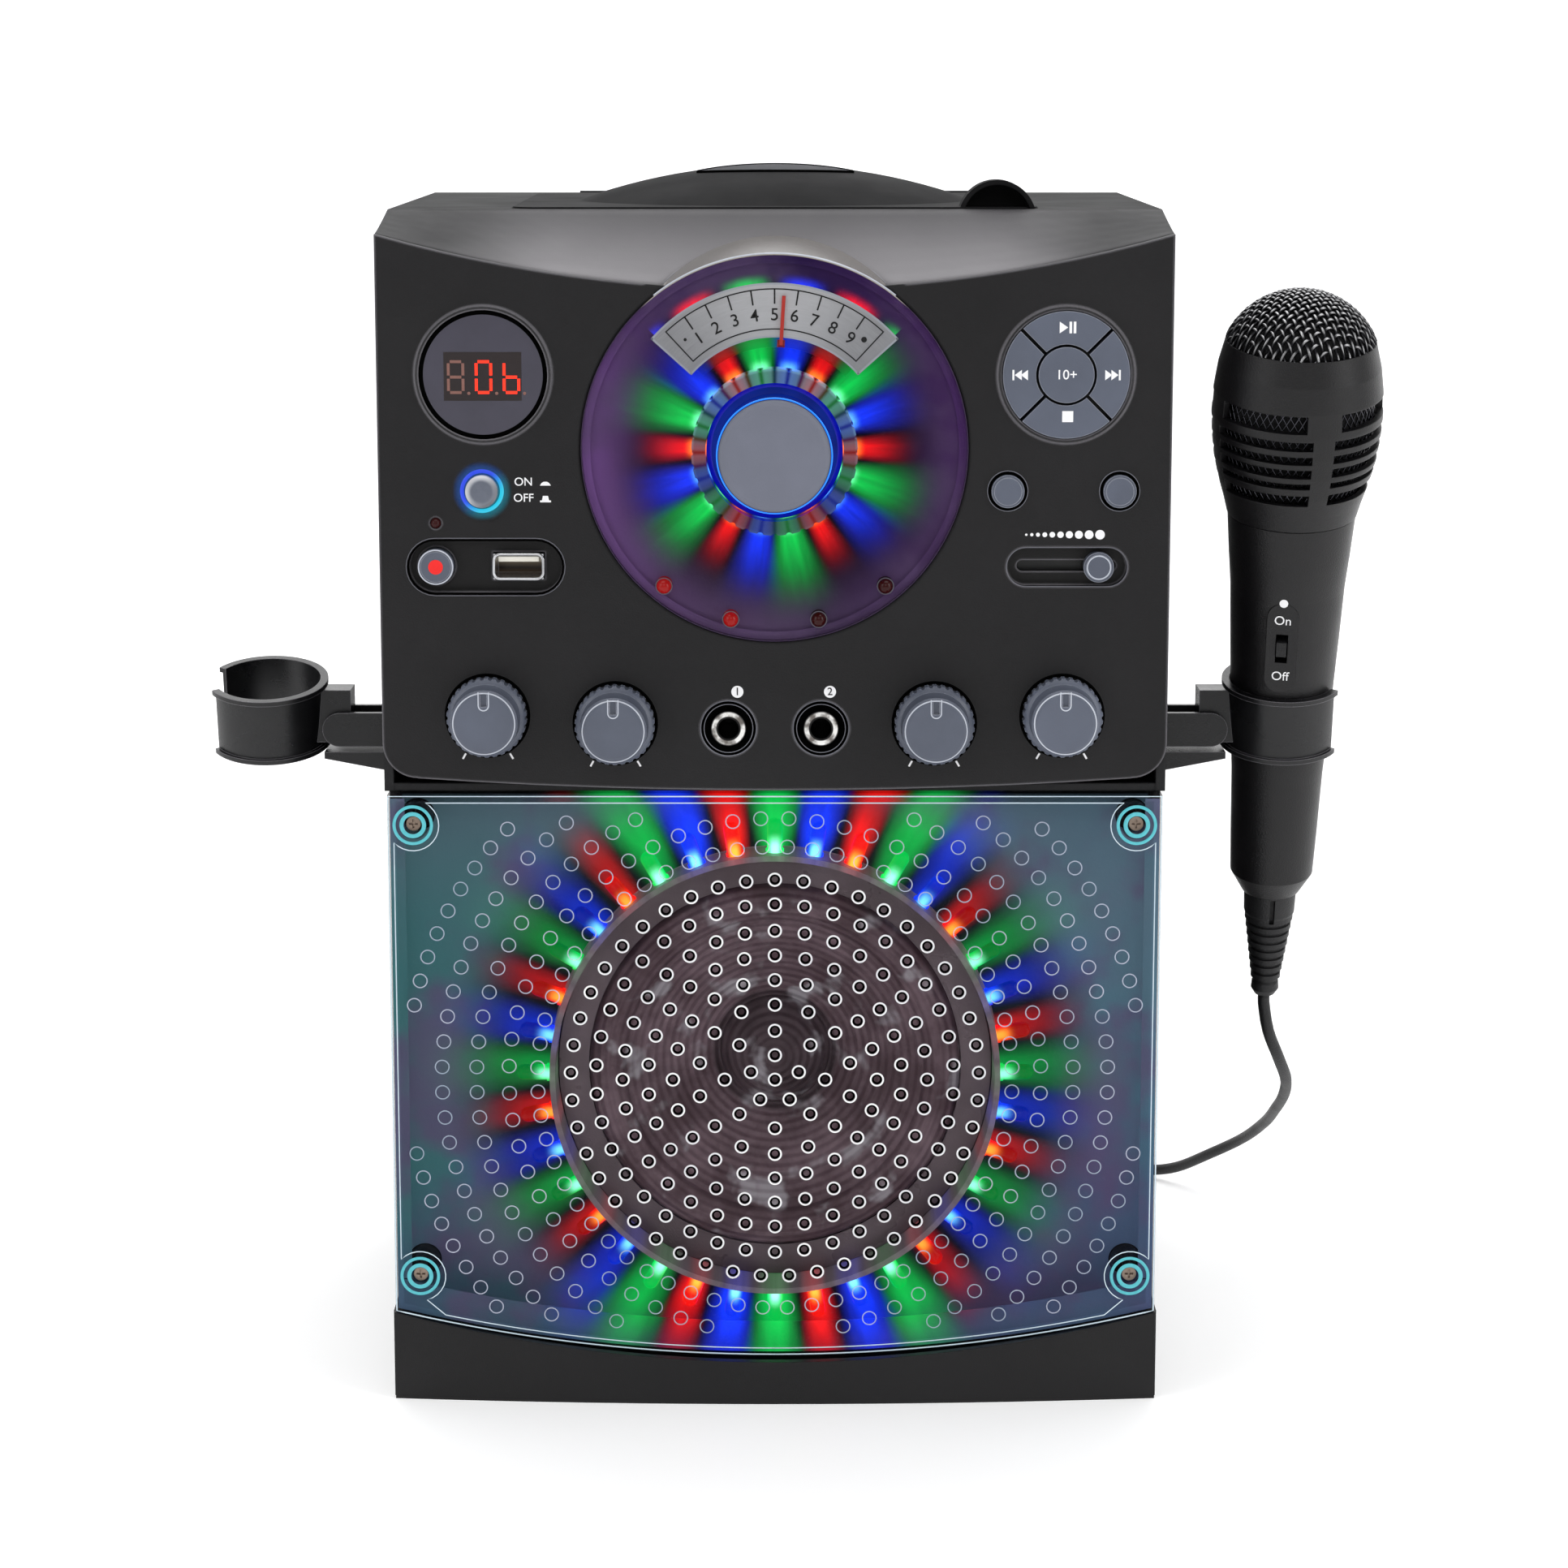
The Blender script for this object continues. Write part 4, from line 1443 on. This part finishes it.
HOLE_ROWS = ((0, 1), (8, 5), (16, 8), (24.5, 14), (32.5, 20), (40.5, 26), (48.5, 32), (57, 38), (65, 45))
OUTER_ROWS = ((75.6, 60), (84.7, 60), (95, 72), (106, 80), (117, 90))
BOSS_X, BOSS_LOW, BOSS_HIGH = 0.114, 0.041, 0.1885
rims = []
for r, count in HOLE_ROWS:
    for k in range(count):
        a = 2 * math.pi * k / count
        x, z = -r * MM * math.sin(a), SPEAKER.z + r * MM * math.cos(a)
        rims.append((x, z, FRONT, 0.0017, 0.0023, 0.00022))
outer_rims = []
for r, count in OUTER_ROWS:
    for k in range(count):
        a = 2 * math.pi * (k + 0.5) / count
        x, z = r * MM * math.sin(a), SPEAKER.z + r * MM * math.cos(a)
        low = low_edge(x) + 8 * MM
        corner = min(math.hypot(abs(x) - BOSS_X, z - boss) for boss in (BOSS_HIGH, BOSS_LOW))
        if abs(x) < 0.1155 and low < z < 0.1925 and corner > 12 * MM:
            outer_rims.append((x, z, FRONT, 0.0020, 0.0024, 0.00018))
print(len(rims), "holes and", len(outer_rims), "blind rims")

# %% Make the rims
# The moulded rims are polished polystyrene: bright round the holes, and fainter where they are blind.
rim_bright = clear("bright polystyrene rim", "#e6e6ea", 1.0, "#ffffff", 0.2)
rim_clear = clear("clear polystyrene rim", "#a4b4c8", 0.75, "#c4c8dc", 0.2)
hoops("hole_rims", rims, rim_bright, sides=20)
walls = [(x, z, FRONT + 0.0006, 0.0010, 0.0017, 0.0003) for x, z, *_ in rims]
hoops("hole_walls", walls, gap_black, sides=16)
hoops("cover_rims", outer_rims, rim_clear, sides=18)
print("rims made, the outer ones", 4.8, "mm across")

# %% [markdown]
# ## Edges of the speaker cover
#
# A clear sheet gathers light at its edges. One line follows the cover's outline, and a moulded line runs
# inside it and curves round the screws. Rings of the same light stand round the screws, and along the edges
# the shiny film comes forward as a lip. Half of the outline is drawn and mirrored by the sign of X.

# %% The outline of the cover


def edge_path(side, inset):
    """The left or right half of the cover's outline, from the top middle to the bottom middle."""
    right, top = 0.122 - inset, 0.198 - inset
    half = [(0.0, top)]
    if inset > 0.001:
        for boss, first, last in ((BOSS_HIGH, 60, -137), (BOSS_LOW, 137, -75)):
            angles = [math.radians(first + (last - first) * k / 16) for k in range(17)]
            half += [(BOSS_X - 0.0082 * math.cos(a), boss + 0.0082 * math.sin(a)) for a in angles]
    else:
        half += [(right, top), (right, low_edge(right) + inset)]
    last = 0.106 if inset > 0.001 else 0.119
    half += [(x, low_edge(x) + inset) for x in [last * (1 - k / 16) for k in range(17)]]
    return [Vector((side * x, FRONT - 0.0001, z)) for x, z in half]


print("half of the outline has", len(edge_path(1, 0.0024)), "points")

# %% Lines, lip and rings of the cover
across = [0.1214 * (k / 16 - 1) for k in range(33)]
lip = [(x, low_edge(x) + 0.0004) for x in across] + [(x, low_edge(x) + 0.0105) for x in reversed(across)]
strips = [block(side * 0.1191, 0.118, 0.0046, 0.157) for side in (-1, 1)]
plate("film_lip", [lip] + strips, FRONT + 2.6 * MM, 0.0003, bay_reflector)
for name, inset, thick in (("cover_edge", 0.0003, 0.00024), ("cover_line", 0.0024, 0.00018)):
    points, faces = [], []
    for side in (-1, 1):
        made_points, made_faces = tube_data(edge_path(side, inset), thick, 6, (0, 1, 0.1),
                                            start=len(points))
        points += made_points
        faces += made_faces
    keep(name, build(name, points, faces), CABINET, edge_light, smooth=True)
bosses = [(x, z) for x in (-BOSS_X, BOSS_X) for z in (BOSS_LOW, BOSS_HIGH)]
rings = [(x, z, FRONT, inner, outer, 0.0003) for x, z in bosses
         for inner, outer in ((0.0029, 0.0042), (0.0054, 0.0064))]
hoops("boss_rings", rings, boss_cyan, sides=40)
print(len(bosses), "screws with", len(rings), "rings")

# %% [markdown]
# ## The hood over the dial
#
# The dial's housing comes out of the brow as a shallow hood. From the front it is a pale crescent above the
# dial, because it is glossy and looks up at the light. It could be cut out of a cone. Here it is a thin sheet
# between two arcs: one on the dial's rim, and one that lies on the brow's own surface.

# %% The hood's arcs
BROW_FOOT, BROW_ARC, DECK = 0.356, 0.4535, 0.379


def brow_at(x, z):
    """How far back the brow's surface lies at a height."""
    edge = BROW_FOOT + BROW_ARC - math.sqrt(BROW_ARC ** 2 - x * x)
    return -0.107 + 0.045 * max((z - edge) / (DECK - edge), 0.0) ** (1 / 1.15)


ARC_POINTS = 49
inner_arc, outer_arc = [], []
for k in range(ARC_POINTS):
    x = 0.0372 * (k / 24 - 1)
    z = DIAL.z + math.sqrt(0.0602 ** 2 - x * x)
    z_high = max(0.3218 + math.sqrt(0.0497 ** 2 - x * x), z + 0.0001)
    inner_arc.append(Vector((x, FRONT - 0.0005, z)))
    outer_arc.append(Vector((x, brow_at(x, z_high) - 0.0004, z_high)))
print("hood", round(2000 * inner_arc[-1].x, 1), "mm wide")

# %% Make the hood
under = Vector((0, 0, -0.6 * MM))
points = inner_arc + outer_arc + [p + under for p in outer_arc] + [p + under for p in inner_arc]
faces = []
for r in range(4):
    row, following = r * ARC_POINTS, (r + 1) % 4 * ARC_POINTS
    faces += [(row + i, row + i + 1, following + i + 1, following + i) for i in range(ARC_POINTS - 1)]
# Glossy painted ABS, pale from the light above it.
hood_plastic = plastic("painted ABS of the hood", "#544f4c", "#6a6562", 0.2, 0.03, 0.385, 0.05, 0.0,
                       shine=0.25)
keep("dial_hood", build("dial_hood", points, faces), CABINET, hood_plastic, smooth=False)
for name, path, thick, made in (("hood_front", inner_arc, 0.00032, line_print),
                                ("hood_back", outer_arc, 0.0002, rim_plastic)):
    keep(name, build(name, *tube_data(path, thick, 6, (0, 1, 0.1))), CABINET, made, smooth=True)
hoops("film_edge", [(0, DIAL.z, FRONT + 1.5 * MM, 0.0572, 0.0598, 0.0001)], dial_film, sides=96)
print("hood made of", len(faces), "faces")

# %% [markdown]
# ## The seal round the lid's window
#
# The window is a lens shape between two arcs, glued into the lid. Its dark seal is a thin tube that lies on
# the lid's dome. A curve could be shrink-wrapped to the lid, but the dome is part of a sphere, so the height
# of each point follows from its X and Y. The seal rides on the lid's body and opens with it.

# %% The seal
DOME = 195.45
seal = []
for side in (1, -1):
    for k in range(33):
        x = side * 26 * (k / 16 - 1)
        y = 3 - side * (math.sqrt(36.5 ** 2 - x * x) - 24.5)
        seal.append(Vector((x, y, 195.86 + math.sqrt(DOME ** 2 - x * x - (y - 16) ** 2))) * MM)
keep("window_seal", build("window_seal", *tube_data(seal, 0.0004, 6, (0, 0, 1), closed=True)), "lid",
     gap_black, smooth=True)
print("seal of", len(seal), "points on a dome of", DOME, "mm radius")

# %% [markdown]
# ## The microphone's woven mesh
#
# The head ends in a dome of woven steel wire, lacquered black and rubbed bright on its crossings. An image
# of a weave would look flat in outline. Here 21 wires each way run over and under each other on the dome.
# The pitch is 2.1 mm, drawn coarser than the real 1.2 mm or so, to stay readable and light.

# %% Places on the microphone
HEAD_TOP = 0.069 + 0.057
FOOT, HIGH = 0.0231, 0.0150
BALL = (FOOT * FOOT + HIGH * HIGH) / (2 * HIGH)


def on_mic(x, y, z):
    """A point of the microphone's own frame, in the row frame."""
    return RING + Vector((x, y * math.cos(LEAN) - z * math.sin(LEAN),
                          y * math.sin(LEAN) + z * math.cos(LEAN)))


print("the dome is part of a ball of", round(BALL / MM, 1), "mm radius")

# %% Wires over and under each other
points, faces = [], []
pitch, wire = 2.1 * MM, 0.5 * MM
turn = math.radians(28)
for direction in (0, 1):
    for line in range(-10, 11):
        offset = line * pitch
        reach = FOOT * FOOT - offset * offset
        if reach <= 0:
            continue
        reach = math.sqrt(reach)
        count = max(4, int(reach * 2 / (pitch / 4)))
        path = []
        for i in range(count + 1):
            along = -reach + 2 * reach * i / count
            x, y = (along, offset) if direction == 0 else (offset, along)
            wave = math.cos(math.pi * along / pitch) * (1 if (line + direction) % 2 else -1)
            x, y = x * math.cos(turn) - y * math.sin(turn), x * math.sin(turn) + y * math.cos(turn)
            rise = math.sqrt(max(BALL * BALL - x * x - y * y, 0)) + HIGH - BALL
            path.append(on_mic(x, y, HEAD_TOP + 0.0001 + max(rise, 0) + wave * wire * 0.8 - wire * 0.6))
        made_points, made_faces = tube_data(path, wire, 5, (0.1, 0.2, 1), start=len(points))
        points += made_points
        faces += made_faces
print("woven mesh of", len(faces), "faces")

# %% Lacquered wire
# Plain dark steel wire for the mesh that stands deep behind the slots.
mesh_wire = plastic("dark steel wire", "#303034", "#58585e", 0.18, 0.06, 0.385, 0.1, 0.0, metal=1.0)


def woven_wire():
    """Black lacquer, rubbed through to bright steel where a wire passes over a crossing."""
    made, tree, shader, place = material("lacquered steel wire")
    middle = on_mic(0, 0, HEAD_TOP + HIGH - BALL)
    height = add(tree, "VectorMath.DISTANCE", place, tuple(middle))
    over = add(tree, "MapRange.SMOOTHSTEP", height, BALL + 0.00025, BALL + 0.00062)
    cloud = add(tree, "TexNoise", place, 300, 2.0)
    rubbed = add(tree, "Math.MULTIPLY", over, cloud)
    tree.links.new(add(tree, "Mix.RGBA", rubbed, colour("#1a1a1d"), colour("#f4f4f6")),
                   shader.inputs["Base Color"])
    shader.inputs["Metallic"].default_value = 0.85
    surface(tree, shader, place, 0.385, 0.1, 0.0, 0.3, 0.06)
    return made


dome = keep("mesh_dome", build("mesh_dome", points, faces), "microphone", woven_wire(), smooth=True)
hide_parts("mic_mesh")
print("dome", round(2 * FOOT / MM, 1), "mm across and", round(HIGH / MM, 1), "mm high")

# %% [markdown]
# ### Behind the head's slots
#
# Through the slots of the head one sees a second mesh and, behind it, the dark foam that keeps the breath
# off. The mesh is drawn as wires that wind up in both directions, a little inside the head's outline. The
# foam is a turned shape: a profile of radii and heights, set round 40 times. Foam has open cells and no
# shine at all, and its cells are about 1 mm wide.

# %% The second mesh
HEAD_LINE = [(20.6, 0.3), (21.8, 5), (23.9, 12), (25.5, 19), (26.4, 26), (26.8, 33), (26.5, 41),
             (25.4, 49), (23.4, 57)]


def head_radius(z):
    """The head's outer radius at a height, both in millimetres."""
    for (r0, z0), (r1, z1) in zip(HEAD_LINE, HEAD_LINE[1:]):
        if z0 <= z <= z1:
            return r0 + (r1 - r0) * (z - z0) / (z1 - z0)
    return HEAD_LINE[-1][0]


points, faces = [], []
for k in range(60):
    for hand_of in (1, -1):
        path = []
        for i in range(33):
            z = 8 + 38 * i / 32
            a = 2 * math.pi * k / 60 + hand_of * 0.9 * i / 32
            r = (head_radius(z) - 2.9) * MM
            path.append(on_mic(r * math.cos(a), r * math.sin(a), 0.069 + z * MM))
        made_points, made_faces = tube_data(path, 0.00028, 4, (1, 0.1, 0), start=len(points))
        points += made_points
        faces += made_faces
grille = keep("mesh_barrel", build("mesh_barrel", points, faces), "microphone", mesh_wire, smooth=True)
print("second mesh of", len(faces), "faces")

# %% The foam
SECTORS, HEAD_FOOT = 40, 0.069
points, faces = [], []
profile = [(0.0, 1.0), (16.5, 1.0), (17.2, 6), (20.0, 16), (21.6, 26), (22.2, 34), (21.6, 44), (20.2, 52),
           (19.5, 57), (18.0, 61), (14.0, 65.2), (8.0, 68.2), (0.0, 69.4)]
for r, z in profile:
    for k in range(SECTORS):
        a = 2 * math.pi * k / SECTORS
        points.append(on_mic(r * MM * math.cos(a), r * MM * math.sin(a), HEAD_FOOT + z * MM))
for row in range(0, (len(profile) - 1) * SECTORS, SECTORS):
    for k in range(SECTORS):
        n = (k + 1) % SECTORS
        faces.append((row + k, row + n, row + SECTORS + n, row + SECTORS + k))
foam = plastic("open-cell foam", "#08080a", "#101012", 0.9, 0.05, 1.11, 0.8, 0.0)
keep("mesh_foam", build("mesh_foam", points, faces), "microphone", foam, smooth=True)
print("foam", profile[-1][1] - profile[0][1], "mm high")

# %% [markdown]
# ### Marks on the microphone's switch
#
# On and Off stand beside the switch, with a dot above, printed round the handle. Text is flat, so each point
# of its mesh is moved from the flat page onto the handle's side, which `on_mic` places in the tilted frame.

# %% Characters on the handle
SIDE = 18.3 * MM


def mic_mark(name, text, z, size):
    """Characters on the handle, 10 degrees round from its front."""
    a = math.radians(-10)
    curve = bpy.data.curves.new(name, "FONT")
    curve.body = text
    curve.size = size
    curve.align_x, curve.align_y = "CENTER", "CENTER"
    curve.extrude = THIN
    letters = bpy.data.objects.new(name, curve)
    bpy.context.collection.objects.link(letters)
    bpy.context.view_layer.update()
    mesh = bpy.data.meshes.new_from_object(letters)
    for vertex in mesh.vertices:
        x, up_by, out = vertex.co
        y = -SIDE - LIFT - out
        px, py = x * math.cos(a) - y * math.sin(a), x * math.sin(a) + y * math.cos(a)
        vertex.co = on_mic(px, py, z + up_by)
    bpy.data.objects.remove(letters)
    mesh.materials.clear()
    return keep(name, mesh, "microphone", white_print)


mic_mark("switch_dot", "\u2022", 0.0440, 0.0110)
mic_mark("switch_on", "On", 0.0385, 0.0042)
mic_mark("switch_off", "Off", 0.0195, 0.0042)
print("marks at", round((SIDE + LIFT) / MM, 2), "mm from the microphone's axis")

# %% [markdown]
# ## The floor and the light
#
# A product is mostly photographed on white paper that bends up behind it without an edge. The paper is matt,
# a little uneven, and lit by lamps of its own, so it is nearly white everywhere. Here the floor glows
# faintly, and the backdrop more. It stands far enough behind the object that a camera fits in between.

# %% The paper backdrop
BEND, BEND_AT, HALF_WIDTH = 1.6, 2.4, 8.0
quarter = [math.pi / 2 * k / 12 for k in range(1, 13)]
outline = [(-5.9, 0.0), (BEND_AT, 0.0)]
outline += [(BEND_AT + BEND * math.sin(a), BEND - BEND * math.cos(a)) for a in quarter]
outline += [(4.0, 8.0)]
points = [(side * HALF_WIDTH, y, z) for side in (-1, 1) for y, z in outline]
n = len(outline)
faces = [(i, i + 1, n + i + 1, n + i) for i in range(n - 1)]
backdrop = keep("backdrop", build("backdrop", points, faces), None, smooth=True)
made, tree, shader, place = material("matt white paper")
cloud = add(tree, "TexNoise", place, 1.5, 2.0)
paper_tone = add(tree, "Mix.RGBA", cloud, colour("#efeff0"), colour("#f3f3f3"))
tree.links.new(paper_tone, shader.inputs["Base Color"])
shader.inputs["Roughness"].default_value = 0.6
rise = add(tree, "MapRange.SMOOTHSTEP", add(tree, "SeparateXYZ", place, out="Y"), 0.8, 1.4)
tree.links.new(add(tree, "Math.MULTIPLY_ADD", rise, 0.38, 0.27), shader.inputs["Emission Strength"])
shader.inputs["Emission Color"].default_value = colour("#ffffff")
backdrop.data.materials.append(made)
print("backdrop", 2 * HALF_WIDTH, "m wide, bent up", BEND_AT, "m behind the middle")

# %% [markdown]
# ## The lamps
#
# Black glossy plastic shows mostly what it mirrors, so it needs large, soft lamps: above, at both sides, in
# front, and a weak one behind that draws the top edges. Point lamps would give hard little spots. The white
# world fills the rest. The view transform is Standard, so that the colours keep their hex values.

# %% Five soft lamps and the world


def light(name, place, target, size, power):
    """A rectangular soft lamp that points at a target. Its power is in watts."""
    data = bpy.data.lights.new(name, "AREA")
    data.shape = "RECTANGLE"
    data.size, data.size_y = size
    data.energy = power
    lamp_object = bpy.data.objects.new(name, data)
    lamp_object.location = place
    aim = Vector(target) - Vector(place)
    lamp_object.rotation_euler = aim.to_track_quat("-Z", "Y").to_euler()
    bpy.context.collection.objects.link(lamp_object)


light("top light", (0, -0.1, 1.6), (0, 0, 0.3), (1.6, 1.2), 11)
light("left light", (-1.3, -1.0, 0.9), (0, 0, 0.25), (0.9, 1.2), 6)
light("right light", (1.4, -0.8, 0.8), (0.1, 0, 0.25), (0.8, 1.2), 8)
light("front light", (0.1, -2.0, 1.3), (0, 0, 0.2), (1.2, 0.8), 4.5)
light("back light", (0, 1.1, 1.5), (0, 0.2, 0.3), (1.6, 0.6), 6)
world = bpy.data.worlds.new("studio")
world.use_nodes = True
world.node_tree.nodes["Background"].inputs[0].default_value = colour("#ffffff")
world.node_tree.nodes["Background"].inputs[1].default_value = 0.42
bpy.context.scene.world = world
bpy.context.scene.view_settings.view_transform = "Standard"
